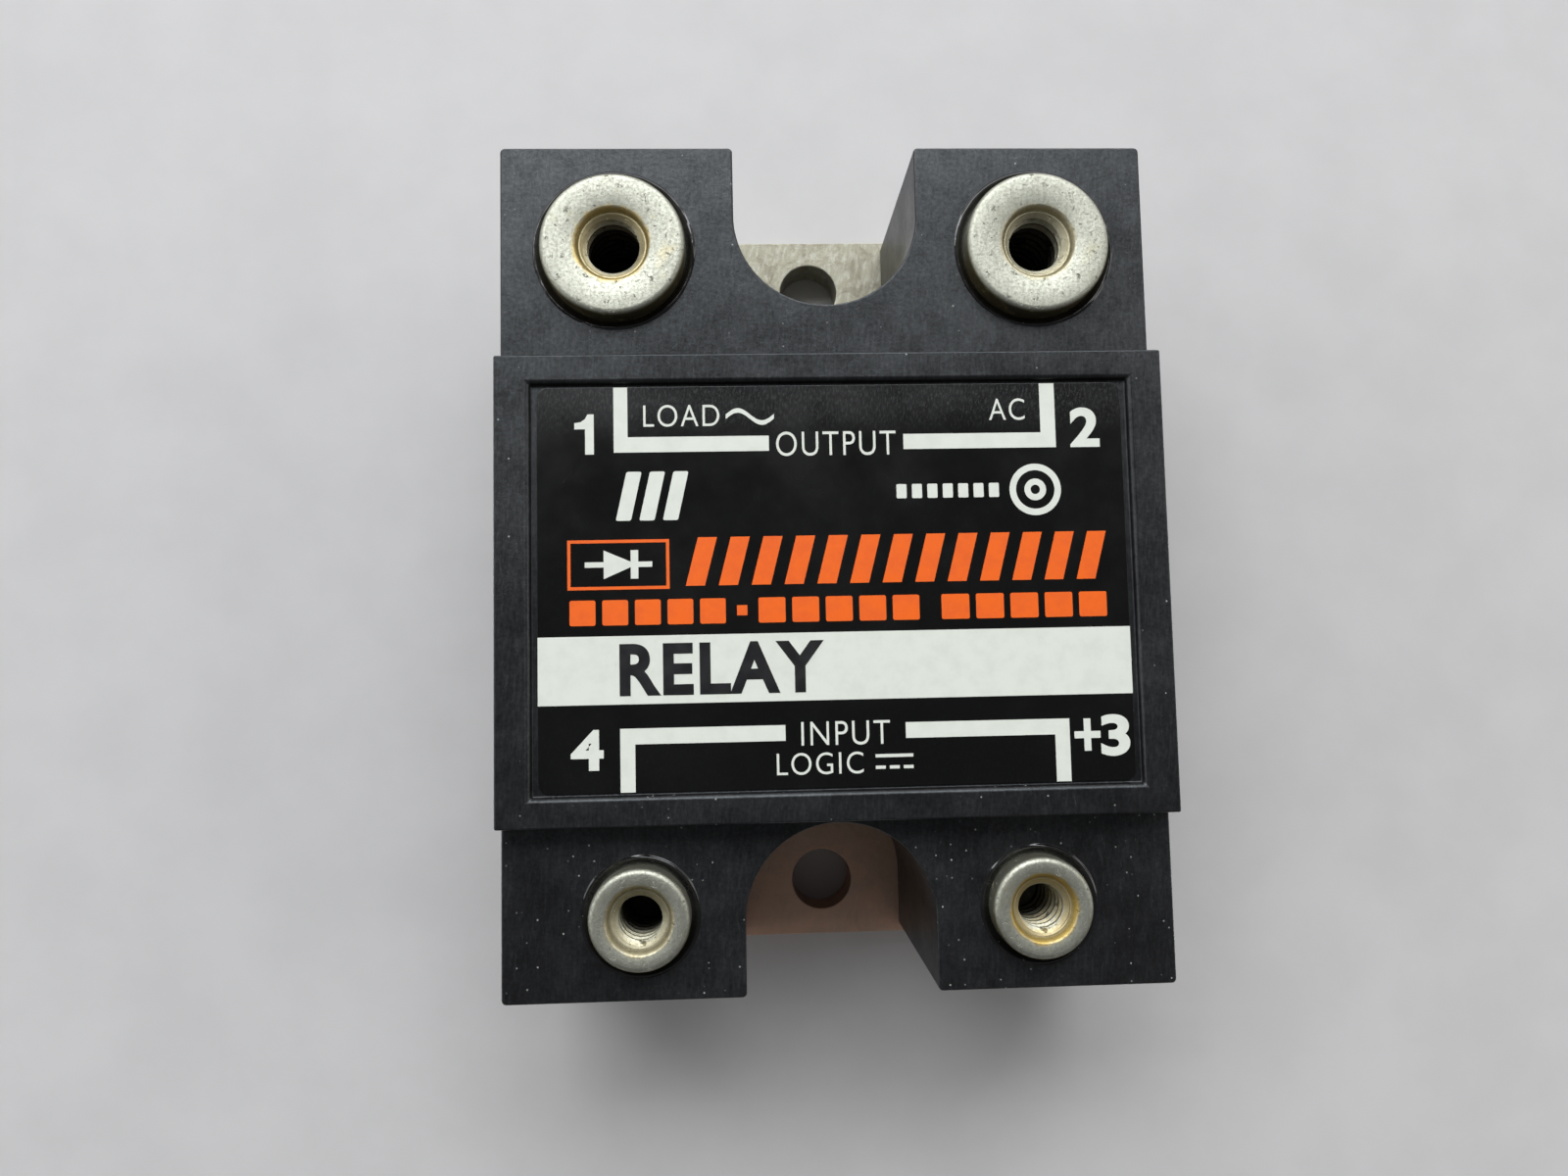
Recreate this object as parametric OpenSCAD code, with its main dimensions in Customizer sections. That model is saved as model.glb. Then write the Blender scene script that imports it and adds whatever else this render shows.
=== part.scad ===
// Panel-mount solid state relay: a moulded shell on a metal base plate, potted round four threaded posts.
// The origin is at the middle of the base plate's underside. +Z is up and +Y points to the output end.

/* [Base plate] */
// Width of the base plate
plate_w = 43.6; // [42.8:0.1:56]
// Length of the base plate, from the input end to the output end
plate_l = 56.0; // [55.4:0.1:72]
// Thickness of the base plate
plate_t = 3.2; // [1.5:0.1:6]
// Corner radius of the base plate
plate_corner_r = 0.6; // [0.2:0.1:3]
// Distance between the two mounting holes
mount_pitch = 47.5; // [46:0.1:52]
// Diameter of each mounting hole
mount_hole_d = 4.6; // [3:0.1:6]

/* [Housing] */
// How far the base plate stands out beyond the housing
plate_ledge = 0.5; // [0.1:0.1:0.8]
// Height of the terminal decks above the base plate
deck_h = 17.1; // [16:0.1:22]
// Thickness of the outer walls
wall = 1.6; // [1.2:0.1:2]
// Thickness of the decks and of the roof under the label
roof_t = 1.6; // [1:0.1:2.2]
// Radius of the housing's upright corners
housing_corner_r = 0.3; // [0.2:0.1:1.2]
// Radius of the U-shaped screw notch in each end
notch_r = 6.05; // [5:0.05:7.3]
// How far each notch's arc centre lies inside its mounting hole
notch_inset = 0.85; // [0:0.05:2]

/* [Raised frame] */
// Length of the raised block between the decks
frame_l = 29.5; // [27:0.1:30]
// Offset of the raised block's middle from the origin, along Y
frame_y = -1.73; // [-2:0.01:0]
// Height of the raised block above the decks
frame_h = 2.0; // [1:0.1:4]
// Border between the raised block's sides and the label window
window_border_x = 2.25; // [1.5:0.05:5]
// Border between the raised block's ends and the label window
window_border_y = 1.85; // [1:0.05:4]
// Depth of the label window
window_depth = 0.45; // [0.2:0.05:0.8]
// Gap between the label's sides and the window
label_gap_x = 0.4; // [0.1:0.05:1]
// Gap between the label's ends and the window
label_gap_y = 0.2; // [0.1:0.05:1]
// Corner radius of the label
label_corner_r = 0.7; // [0.2:0.1:3]
// Thickness of the label
label_t = 0.15; // [0.1:0.01:0.2]

/* [Terminals] */
// Distance between the two output posts
output_pitch = 27.8; // [27.4:0.01:29]
// Distance between the two input posts
input_pitch = 25.24; // [23.5:0.01:29]
// Distance between the row of output posts and the row of input posts
row_spacing = 42.85; // [42.5:0.01:46]
// Distance of the output posts' row from the origin
output_row_y = 20.55; // [20.2:0.01:22]
// Diameter of each output post
output_post_d = 9.4; // [8:0.1:11.5]
// Diameter of each input post
input_post_d = 6.35; // [5.6:0.05:9]
// Height of the posts above the control board
post_h = 10; // [8.5:0.1:11.5]
// How far the posts stand out of the decks
post_proud = 1.3; // [0.2:0.1:1.8]
// Chamfer on the posts' edges
post_chamfer = 0.3; // [0.1:0.02:0.6]
// Thread bore of the output posts, at the crests
output_bore_d = 3.45; // [2.5:0.05:4.5]
// Thread bore of the input posts, at the crests
input_bore_d = 2.8; // [2:0.05:3.6]
// Depth of the output posts' thread
output_bore_depth = 7.6; // [4:0.1:7.6]
// Depth of the input posts' thread
input_bore_depth = 7.0; // [4:0.1:7.6]
// Width of the countersink beyond the bore, on each side
countersink = 0.72; // [0.3:0.02:1]
// Diameter of the output posts' riveted shank
output_shank_d = 5.6; // [3:0.1:6]
// Diameter of the input posts' riveted shank
input_shank_d = 4.2; // [2.5:0.1:5]
// How far the riveted head stands out beyond the shank
rivet_lip = 0.9; // [0.5:0.05:1]
// Thickness of the riveted head
rivet_t = 0.6; // [0.4:0.05:0.8]
// Gap between a post and the rim of its hole in the deck
seal_gap = 0.42; // [0.3:0.02:0.9]
// Depth of the potting's surface below the decks
seal_drop = 0.35; // [0.05:0.05:0.8]

/* [Power stage] */
// Width of the ceramic substrate
substrate_w = 24; // [23:0.5:27]
// Length of the ceramic substrate
substrate_l = 20; // [19:0.5:22]
// Thickness of the ceramic substrate
substrate_t = 0.64; // [0.3:0.02:1.2]
// Bare ceramic round the copper pads
pad_margin = 1; // [0.5:0.1:1.5]
// Gap between the two copper pads
pad_split = 1.5; // [0.8:0.1:2]
// Thickness of the copper pads
pad_t = 0.3; // [0.1:0.05:0.5]
// Side of each thyristor die
die_w = 6; // [4:0.1:6.4]
// Thickness of each thyristor die
die_t = 0.4; // [0.2:0.05:0.6]
// Width of the clips that bridge the dies
clip_w = 3; // [2:0.1:3.6]
// Thickness of the clips that bridge the dies
clip_t = 0.3; // [0.2:0.05:0.5]
// Rise of each clip above its die
clip_rise = 1.2; // [0.6:0.1:1.6]
// Width of the copper straps
strap_w = 6; // [4:0.1:6.6]
// Thickness of the copper straps
strap_t = 0.8; // [0.4:0.05:1]
// Length of each strap's foot
strap_foot_l = 3; // [2:0.1:3.4]

/* [Control circuit] */
// Thickness of the control board
board_t = 1.6; // [0.8:0.1:2]
// Gap between the board's edge and the housing's walls
board_gap = 0.3; // [0.1:0.05:0.5]
// Least gap between rows of components
part_gap = 0.9; // [0.5:0.1:1.1]
// Diameter of the components' wire leads
lead_d = 0.6; // [0.4:0.05:0.7]
// Diameter of the holes for leads
lead_hole_d = 0.9; // [0.8:0.05:1.1]
// Diameter of the solder joints on the board
joint_d = 1.5; // [1.2:0.1:1.6]
// Height of the solder joints
joint_h = 0.8; // [0.4:0.1:1]
// Diameter of the two large resistors
large_resistor_d = 3.2; // [2.4:0.1:3.4]
// Body length of the two large resistors
large_resistor_l = 9; // [6:0.1:10]
// Diameter of the small resistors
small_resistor_d = 2.4; // [1.6:0.1:2.7]
// Body length of the small resistors
small_resistor_l = 6.3; // [4:0.1:6.6]
// Diameter of the small diodes
small_diode_d = 1.7; // [1.2:0.1:1.8]
// Body length of the small diodes
small_diode_l = 4; // [3:0.1:4.8]
// Diameter of the input diode
input_diode_d = 2.6; // [1.8:0.1:3]
// Body length of the input diode
input_diode_l = 5; // [4:0.1:5.8]
// Length of the film capacitor
film_cap_l = 13; // [12:0.1:15]
// Width of the film capacitor
film_cap_w = 5; // [3:0.1:5.4]
// Height of the film capacitor
film_cap_h = 7.2; // [4:0.1:7.6]
// Diameter of the disc capacitor
disc_cap_d = 5.2; // [5.1:0.1:5.6]
// Thickness of the disc capacitor
disc_cap_t = 2.2; // [1:0.1:2.4]
// Diameter of the transistor bodies
transistor_d = 4.6; // [3.5:0.1:4.8]
// Height of the transistor bodies
transistor_h = 4.7; // [3:0.1:5.4]
// Length of the optocoupler's body
opto_l = 7.3; // [6:0.1:8]
// Width of the optocoupler's body
opto_w = 6.4; // [5.5:0.1:6.8]
// Height of the optocoupler's body
opto_h = 3.4; // [2:0.1:4.5]
// Clearance that the potting leaves round the parts inside
potting_gap = 0.05; // [0.02:0.01:0.08]

/* [Hidden] */
$fn = 48;
eps = 0.01;
over = 1; // how far a cutter runs past the face that it opens

// Levels, from the underside up
substrate_z = plate_t;
pad_z = substrate_z + substrate_t;
die_z = pad_z + pad_t;
clip_z = die_z + die_t;
deck_z = plate_t + deck_h;
frame_top_z = deck_z + frame_h;
window_z = frame_top_z - window_depth;
cavity_top_z = deck_z - roof_t;
pocket_top_z = window_z - roof_t;
post_top_z = deck_z + post_proud;
board_top_z = post_top_z - post_h;
board_z = board_top_z - board_t;
strap_z = board_z - strap_t;
seal_z = deck_z - seal_drop;

// Plan sizes of the housing
housing_w = plate_w - 2 * plate_ledge;
housing_l = plate_l - 2 * plate_ledge;
notch_y = mount_pitch / 2 - notch_inset;
window_w = housing_w - 2 * window_border_x;
window_l = frame_l - 2 * window_border_y;
inner_corner_r = housing_corner_r;

// Places of the four posts
output_x = output_pitch / 2;
input_x = input_pitch / 2;
input_row_y = output_row_y - row_spacing;

// The power stage: two dies on two pads, each bridged to the other pad by a clip
substrate_y = 2;
pad_w = (substrate_w - 2 * pad_margin - pad_split) / 2;
pad_l = substrate_l - 2 * pad_margin;
pad_x = (pad_split + pad_w) / 2;
die_x = 6;
die_dy = 5;
clip_foot_x = 3;
clip_land = 1.6;
gate_corner = 0.8; // from the die's edges to the gate wire
gate_x = die_x + die_w / 2 - gate_corner;
gate_dy = die_dy + die_w / 2 - gate_corner;
strap_leg_x = substrate_w / 2 - pad_margin - 2.5;
strap_leg_w = 4;
strap_leg_dy = 7; // from the substrate's middle to the leg of strap 1
strap_1_leg_y = substrate_y - strap_leg_dy;
strap_2_leg_y = substrate_y + die_dy - strap_foot_l / 2 - strap_t;
strap_jog_l = 5; // from the leg's outer face to the end of the jog
strap_eye_d = output_shank_d + 2 * rivet_lip + 1;
rivet_clearance = 0.05;

// Rows of components on the board, packed inwards from the two notches
row_limit_y = notch_y - notch_r - wall;
snubber_row_y = row_limit_y - part_gap - large_resistor_d / 2;
film_cap_y = snubber_row_y - large_resistor_d / 2 - part_gap - film_cap_w / 2;
gate_row_y = film_cap_y - film_cap_w / 2 - part_gap - small_resistor_d / 2;
input_row = -row_limit_y + part_gap + large_resistor_d / 2;
opto_lead_y = 3.81; // from the optocoupler's middle to each row of its pins
opto_pin_pitch = 2.54;
opto_pin = [0.5, 0.3];
opto_y = input_row + large_resistor_d / 2 + part_gap + opto_lead_y + opto_pin[1];
transistor_pitch = 1.27;
transistor_pin = 0.45;
transistor_lift = 1.8;
transistor_y = input_row + large_resistor_d / 2 + part_gap + transistor_d / 2;
lead_bend_r = 0.8;
part_lift = 0.4;

// The column at the right: the disc capacitor, and the bridge diodes beyond it
joint_gap = 0.11; // between the disc capacitor's joint and the input diode's
bridge_gap = 0.75; // between the disc capacitor's joint and the bridge diodes' joints
disc_cap_pitch = 5.08;
disc_cap_lift = 0.9;
disc_cap_y = input_row + joint_d + joint_gap + disc_cap_pitch / 2;
bridge_pitch = 7.62;
bridge_y = disc_cap_y + disc_cap_pitch / 2 + joint_d + bridge_gap + bridge_pitch / 2;
strap_gap = 0.14; // between the bridge diodes' joints and strap 2
strap_jog_y = bridge_y + bridge_pitch / 2 + joint_d / 2 + strap_gap;

// Each axial component: x, y, turn, body diameter, body length, distance between its leads
SNUBBER_RESISTOR = [[0, snubber_row_y, 0, large_resistor_d, large_resistor_l, 12.7]];
GATE_RESISTORS = [for (s = [-1, 1]) [5.2 * s, gate_row_y, 0, small_resistor_d, small_resistor_l, 9]];
BIAS_RESISTORS = [for (i = [0, 1]) [-16.5 + 2.9 * i, -13.5, 90, small_resistor_d, small_resistor_l, 9]];
INPUT_RESISTOR = [[-3, input_row, 0, large_resistor_d, large_resistor_l, 12.7]];
INPUT_DIODE = [[11, input_row, 0, input_diode_d, input_diode_l, 10.16]];
BRIDGE_DIODES = [
    for (i = [0:3]) [12.4 + 2 * i, bridge_y, 90, small_diode_d, small_diode_l, bridge_pitch]
];
AXIALS = concat(
    SNUBBER_RESISTOR, GATE_RESISTORS, BIAS_RESISTORS, INPUT_RESISTOR, INPUT_DIODE, BRIDGE_DIODES
);

OPTO_AT = [0, opto_y];
FILM_CAP_AT = [0, film_cap_y];
film_cap_pitch = 10;
DISC_CAP_AT = [16, disc_cap_y];
LIMITER_AT = [9.5, transistor_y];
TRIGGER_AT = [-8, transistor_y];
GATE_LEADS = [[-gate_x, substrate_y + gate_dy], [gate_x, substrate_y - gate_dy]];

// Every place where a lead goes through the board, soldered underneath
function axial_leads(a) = [
    for (s = [-1, 1]) [a[0] + s * a[5] / 2 * cos(a[2]), a[1] + s * a[5] / 2 * sin(a[2])]
];
function pair_y(at, pitch) = [for (s = [-1, 1]) [at[0], at[1] + s * pitch / 2]];
function pair_x(at, pitch) = [for (s = [-1, 1]) [at[0] + s * pitch / 2, at[1]]];
function three_x(at, pitch) = [for (i = [-1:1]) [at[0] + i * pitch, at[1]]];
OPTO_PINS = [
    for (s = [-1, 1], i = [-1:1]) [OPTO_AT[0] + i * opto_pin_pitch, OPTO_AT[1] + s * opto_lead_y]
];
WIRE_LEADS = concat(
    [for (a = AXIALS) each axial_leads(a)],
    pair_x(FILM_CAP_AT, film_cap_pitch),
    pair_y(DISC_CAP_AT, disc_cap_pitch)
);
TRANSISTOR_PINS = concat(three_x(LIMITER_AT, transistor_pitch), three_x(TRIGGER_AT, transistor_pitch));
SOLDERED_BELOW = concat(WIRE_LEADS, OPTO_PINS);

// Outlines ------------------------------------------------------------------------------------

module rounded_outline(w, l, r) {
    square([w - 2 * r, l], center = true);
    square([w, l - 2 * r], center = true);
    for (x = [-1, 1], y = [-1, 1])
        translate([x * (w / 2 - r), y * (l / 2 - r)]) circle(r = r);
}

// The plan of the housing, drawn in by inset on every side, with its two screw notches
module housing_outline(inset, corner_r) {
    difference() {
        rounded_outline(housing_w - 2 * inset, housing_l - 2 * inset, corner_r);
        for (turn = [0, 180]) rotate(turn) {
            translate([0, notch_y]) circle(r = notch_r + inset, $fn = 96);
            translate([-notch_r - inset, notch_y])
                square([2 * (notch_r + inset), housing_l / 2 - notch_y + over]);
        }
    }
}

// Shared spaces -------------------------------------------------------------------------------

// The hollow under the decks and the raised block, started "below" under the base plate's top
module cavity(below) {
    translate([0, 0, plate_t - below])
        linear_extrude(cavity_top_z - plate_t + below) housing_outline(wall, inner_corner_r);
    translate([0, frame_y, cavity_top_z - over])
        linear_extrude(pocket_top_z - cavity_top_z + over)
            rounded_outline(housing_w - 2 * wall, frame_l - 2 * wall, inner_corner_r);
}

// Draws its children at each post of one row
module at_posts(x, y) {
    for (s = [-1, 1]) translate([s * x, y, 0]) children();
}

// The round wells that the posts stand in, from z up by h
module terminal_wells(z, h) {
    at_posts(output_x, output_row_y)
        translate([0, 0, z]) cylinder(d = output_post_d + 2 * seal_gap, h = h, $fn = 96);
    at_posts(input_x, input_row_y)
        translate([0, 0, z]) cylinder(d = input_post_d + 2 * seal_gap, h = h, $fn = 96);
}

// Shell, plate and label ----------------------------------------------------------------------

module base_plate() {
    color([0.72, 0.70, 0.66]) difference() {
        linear_extrude(plate_t) rounded_outline(plate_w, plate_l, plate_corner_r);
        for (s = [-1, 1])
            translate([0, s * mount_pitch / 2, -over]) cylinder(d = mount_hole_d, h = plate_t + 2 * over);
    }
}

module housing() {
    color([0.11, 0.11, 0.12]) difference() {
        union() {
            translate([0, 0, plate_t]) linear_extrude(deck_h) housing_outline(0, housing_corner_r);
            translate([0, frame_y, deck_z - over]) linear_extrude(frame_h + over)
                rounded_outline(housing_w, frame_l, housing_corner_r);
        }
        cavity(over);
        terminal_wells(plate_t - over, deck_h + 2 * over);
        translate([0, frame_y, window_z]) linear_extrude(window_depth + over)
            square([window_w, window_l], center = true);
    }
}

module label() {
    color([0.05, 0.05, 0.05]) translate([0, frame_y, window_z]) linear_extrude(label_t)
        rounded_outline(window_w - 2 * label_gap_x, window_l - 2 * label_gap_y, label_corner_r);
}

// Terminal posts ------------------------------------------------------------------------------

// A threaded post: a blind bore, a body that stands on the board and a shank riveted under it.
// grip is the thickness held between the body and the riveted head.
module terminal_post(d, shank_d, bore_d, depth, grip) {
    r = d / 2;
    c = post_chamfer;
    base = board_top_z;
    head = base - grip;
    mouth_r = bore_d / 2 + countersink;
    color([0.72, 0.72, 0.70]) rotate_extrude($fn = 96) polygon([
        [0, head - rivet_t],
        [shank_d / 2 + rivet_lip, head - rivet_t],
        [shank_d / 2 + rivet_lip, head],
        [shank_d / 2, head],
        [shank_d / 2, base],
        [r - c, base],
        [r, base + c],
        [r, post_top_z - c],
        [r - c, post_top_z],
        [mouth_r, post_top_z],
        [bore_d / 2, post_top_z - countersink],
        [bore_d / 2, post_top_z - depth],
        [0, post_top_z - depth - bore_d / 2 * tan(30)]
    ]);
}

module output_post(side) {
    translate([side * output_x, output_row_y, 0])
        terminal_post(output_post_d, output_shank_d, output_bore_d, output_bore_depth, board_t + strap_t);
}

module input_post(side) {
    translate([side * input_x, input_row_y, 0])
        terminal_post(input_post_d, input_shank_d, input_bore_d, input_bore_depth, board_t);
}

module output_terminal_1() { output_post(-1); }
module output_terminal_2() { output_post(1); }
module input_terminal_3() { input_post(1); }
module input_terminal_4() { input_post(-1); }

// Power stage ---------------------------------------------------------------------------------

module ceramic_substrate(grow = 0) {
    color([0.93, 0.92, 0.88]) translate([0, substrate_y, substrate_z + substrate_t / 2])
        cube([substrate_w + 2 * grow, substrate_l + 2 * grow, substrate_t + 2 * grow], center = true);
}

module copper_pads(grow = 0) {
    color([0.80, 0.48, 0.30]) for (s = [-1, 1])
        translate([s * pad_x, substrate_y, pad_z + pad_t / 2])
            cube([pad_w + 2 * grow, pad_l + 2 * grow, pad_t + 2 * grow], center = true);
}

module die(s, grow) {
    color([0.35, 0.36, 0.40]) translate([-s * die_x, substrate_y + s * die_dy, die_z + die_t / 2])
        cube([die_w + 2 * grow, die_w + 2 * grow, die_t + 2 * grow], center = true);
}

module thyristor_die_1(grow = 0) { die(1, grow); }
module thyristor_die_2(grow = 0) { die(-1, grow); }

// A strip folded up over the pads' gap: one foot on a die, the other on the opposite pad
module clip(s, grow) {
    low = -clip_foot_x;
    high = die_x;
    arch = clip_z + clip_rise;
    color([0.80, 0.48, 0.30])
        translate([0, substrate_y + s * die_dy, 0]) scale([-s, 1, 1]) rotate([90, 0, 0])
            linear_extrude(clip_w + 2 * grow, center = true) {
                bar(high - clip_land, high + clip_land, clip_z, clip_z + clip_t, grow);
                bar(high - clip_land, high - clip_land + clip_t, clip_z, arch + clip_t, grow);
                bar(low + clip_land - clip_t, high - clip_land + clip_t, arch, arch + clip_t, grow);
                bar(low + clip_land - clip_t, low + clip_land, die_z, arch + clip_t, grow);
                bar(low - clip_land, low + clip_land, die_z, die_z + clip_t, grow);
            }
}

// A rectangle between two X values and two Y values, grown on every side
module bar(x0, x1, y0, y1, grow) {
    translate([x0 - grow, y0 - grow]) square([x1 - x0 + 2 * grow, y1 - y0 + 2 * grow]);
}

module cathode_clip_1(grow = 0) { clip(1, grow); }
module cathode_clip_2(grow = 0) { clip(-1, grow); }

module gate_leads(grow = 0) {
    color([0.80, 0.78, 0.74]) for (p = GATE_LEADS)
        translate([p[0], p[1], clip_z - grow])
            cylinder(d = lead_d + 2 * grow, h = board_top_z - clip_z + grow);
}

// A strap under the board from an output post to its pad: an eye, a run, a jog, a leg and a foot
module strap(side, leg_y, jog_y, grow) {
    run_x = output_x;
    leg_x0 = strap_leg_x - strap_leg_w / 2;
    leg_x1 = strap_leg_x + strap_leg_w / 2;
    color([0.80, 0.48, 0.30]) scale([side, 1, 1]) difference() {
        union() {
            translate([0, 0, strap_z - grow]) linear_extrude(strap_t + grow) {
                translate([run_x, output_row_y]) circle(d = strap_eye_d + 2 * grow);
                bar(run_x - strap_w / 2, run_x + strap_w / 2, jog_y, output_row_y, grow);
                bar(leg_x0, run_x + strap_w / 2, jog_y, leg_y + strap_jog_l, grow);
                bar(leg_x0, leg_x1, leg_y, leg_y + strap_jog_l, grow);
            }
            translate([0, 0, die_z - grow]) linear_extrude(board_z - die_z + grow)
                bar(leg_x0, leg_x1, leg_y, leg_y + strap_t, grow);
            translate([0, 0, die_z - grow]) linear_extrude(strap_t + 2 * grow)
                bar(leg_x0, leg_x1, leg_y, leg_y + strap_t + strap_foot_l, grow);
        }
        if (grow == 0) translate([run_x, output_row_y, strap_z - over])
            cylinder(d = output_shank_d + 2 * rivet_clearance, h = strap_t + 2 * over);
    }
}

module output_strap_1(grow = 0) { strap(-1, strap_1_leg_y, strap_1_leg_y, grow); }
module output_strap_2(grow = 0) { strap(1, strap_2_leg_y, strap_jog_y, grow); }

// Control circuit -----------------------------------------------------------------------------

module control_board(grow = 0) {
    color([0.20, 0.42, 0.25]) difference() {
        translate([0, 0, board_z - grow]) linear_extrude(board_t + 2 * grow)
            housing_outline(wall + board_gap - grow, inner_corner_r);
        if (grow == 0) {
            at_posts(output_x, output_row_y) board_hole(output_shank_d + 2 * rivet_clearance);
            at_posts(input_x, input_row_y) board_hole(input_shank_d + 2 * rivet_clearance);
            for (p = concat(SOLDERED_BELOW, TRANSISTOR_PINS, GATE_LEADS))
                translate([p[0], p[1], 0]) board_hole(lead_hole_d);
        }
    }
}

module board_hole(d) {
    translate([0, 0, board_z - over]) cylinder(d = d, h = board_t + 2 * over);
}

// A component with a round body lying on the board and a wire bent down through it at each end
module axial(a, grow) {
    pitch = a[5];
    lift = a[3] / 2 + part_lift;
    wire = lead_d + 2 * grow;
    translate([a[0], a[1], board_top_z]) rotate(a[2]) {
        translate([0, 0, lift]) rotate([0, 90, 0]) {
            cylinder(d = a[3] * 0.88 + 2 * grow, h = a[4] + 2 * grow, center = true);
            for (s = [-1, 1]) translate([0, 0, s * (a[4] / 2 - a[4] * 0.11)])
                cylinder(d = a[3] + 2 * grow, h = a[4] * 0.22 + 2 * grow, center = true);
            cylinder(d = wire, h = pitch - 2 * lead_bend_r, center = true);
        }
        for (s = [0, 180]) rotate(s) {
            translate([pitch / 2 - lead_bend_r, 0, lift - lead_bend_r]) rotate([90, 0, 0])
                rotate_extrude(angle = 90) translate([lead_bend_r, 0]) circle(d = wire);
            translate([pitch / 2, 0, -board_t]) cylinder(d = wire, h = lift - lead_bend_r + board_t);
        }
    }
}

module axials(list, shade, grow) {
    color(shade) for (a = list) axial(a, grow);
}

module snubber_resistor(grow = 0) { axials(SNUBBER_RESISTOR, [0.55, 0.42, 0.30], grow); }
module gate_resistors(grow = 0) { axials(GATE_RESISTORS, [0.80, 0.68, 0.48], grow); }
module bias_resistors(grow = 0) { axials(BIAS_RESISTORS, [0.80, 0.68, 0.48], grow); }
module input_resistor(grow = 0) { axials(INPUT_RESISTOR, [0.55, 0.42, 0.30], grow); }
module input_diode(grow = 0) { axials(INPUT_DIODE, [0.12, 0.12, 0.12], grow); }
module bridge_diodes(grow = 0) { axials(BRIDGE_DIODES, [0.75, 0.45, 0.25], grow); }

module optocoupler(grow = 0) {
    shoulder = opto_lead_y - opto_w / 2 + opto_pin[1] / 2;
    color([0.90, 0.89, 0.85]) translate([OPTO_AT[0], OPTO_AT[1], board_top_z]) {
        translate([0, 0, part_lift + opto_h / 2])
            cube([opto_l + 2 * grow, opto_w + 2 * grow, opto_h + 2 * grow], center = true);
        for (s = [-1, 1], i = [-1:1]) translate([i * opto_pin_pitch, s * opto_lead_y, 0]) {
            translate([0, 0, (part_lift + opto_h / 2 - board_t) / 2])
                cube([opto_pin[0] + 2 * grow, opto_pin[1] + 2 * grow, part_lift + opto_h / 2 + board_t],
                     center = true);
            translate([0, -s * (shoulder - opto_pin[1]) / 2, part_lift + opto_h / 2])
                cube([opto_pin[0] + 2 * grow, shoulder + 2 * grow, opto_pin[1] + 2 * grow], center = true);
        }
    }
}

module snubber_capacitor(grow = 0) {
    color([0.72, 0.20, 0.14]) translate([FILM_CAP_AT[0], FILM_CAP_AT[1], board_top_z]) {
        translate([0, 0, part_lift - grow]) linear_extrude(film_cap_h + 2 * grow)
            rounded_outline(film_cap_l + 2 * grow, film_cap_w + 2 * grow, 0.5);
        for (s = [-1, 1]) translate([s * film_cap_pitch / 2, 0, -board_t])
            cylinder(d = lead_d + 2 * grow, h = board_t + part_lift + eps);
    }
}

module filter_capacitor(grow = 0) {
    z = disc_cap_lift + disc_cap_d / 2;
    color([0.82, 0.55, 0.25]) translate([DISC_CAP_AT[0], DISC_CAP_AT[1], board_top_z]) {
        translate([0, 0, z]) rotate([0, 90, 0])
            cylinder(d = disc_cap_d + 2 * grow, h = disc_cap_t + 2 * grow, center = true);
        for (s = [-1, 1]) translate([0, s * disc_cap_pitch / 2, -board_t])
            cylinder(d = lead_d + 2 * grow, h = board_t + z);
    }
}

// A small three-pin plastic package that stands on its leads, with a flat face towards the input end
module transistor(at, grow) {
    color([0.10, 0.10, 0.10]) translate([at[0], at[1], board_top_z]) {
        intersection() {
            translate([0, 0, transistor_lift - grow])
                cylinder(d = transistor_d + 2 * grow, h = transistor_h + 2 * grow);
            translate([-transistor_d, -transistor_d * 0.3 - grow, 0])
                cube([2 * transistor_d, 2 * transistor_d, 2 * transistor_h]);
        }
        for (i = [-1:1]) translate([i * transistor_pitch, 0, -board_t])
            linear_extrude(transistor_lift + board_t + eps)
                square(transistor_pin + 2 * grow, center = true);
    }
}

module limiter_transistor(grow = 0) { transistor(LIMITER_AT, grow); }
module trigger_thyristor(grow = 0) { transistor(TRIGGER_AT, grow); }

// Solder on the underside at each lead, and on the top at the two gate leads
module solder_joints(grow = 0) {
    row_w = 2 * transistor_pitch + joint_d * 0.7;
    color([0.78, 0.79, 0.80]) {
        for (p = SOLDERED_BELOW) translate([p[0], p[1], board_z - joint_h - grow])
            cylinder(d1 = joint_d * 0.45 + 2 * grow, d2 = joint_d + 2 * grow, h = joint_h + grow);
        for (x = [LIMITER_AT[0], TRIGGER_AT[0]]) translate([x, transistor_y, board_z - joint_h / 2])
            cube([row_w + 2 * grow, joint_d * 0.8 + 2 * grow, joint_h + 2 * grow], center = true);
        for (p = GATE_LEADS) translate([p[0], p[1], board_top_z])
            cylinder(d1 = joint_d + 2 * grow, d2 = joint_d * 0.45 + 2 * grow, h = joint_h + grow);
    }
}

// Potting -------------------------------------------------------------------------------------

// Everything that the potting flows round, a little larger than it is
module potted_parts(grow) {
    control_board(grow);
    ceramic_substrate(grow);
    copper_pads(grow);
    thyristor_die_1(grow);
    thyristor_die_2(grow);
    cathode_clip_1(grow);
    cathode_clip_2(grow);
    gate_leads(grow);
    output_strap_1(grow);
    output_strap_2(grow);
    optocoupler(grow);
    snubber_capacitor(grow);
    filter_capacitor(grow);
    limiter_transistor(grow);
    trigger_thyristor(grow);
    solder_joints(grow);
    for (a = AXIALS) axial(a, grow);
}

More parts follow.
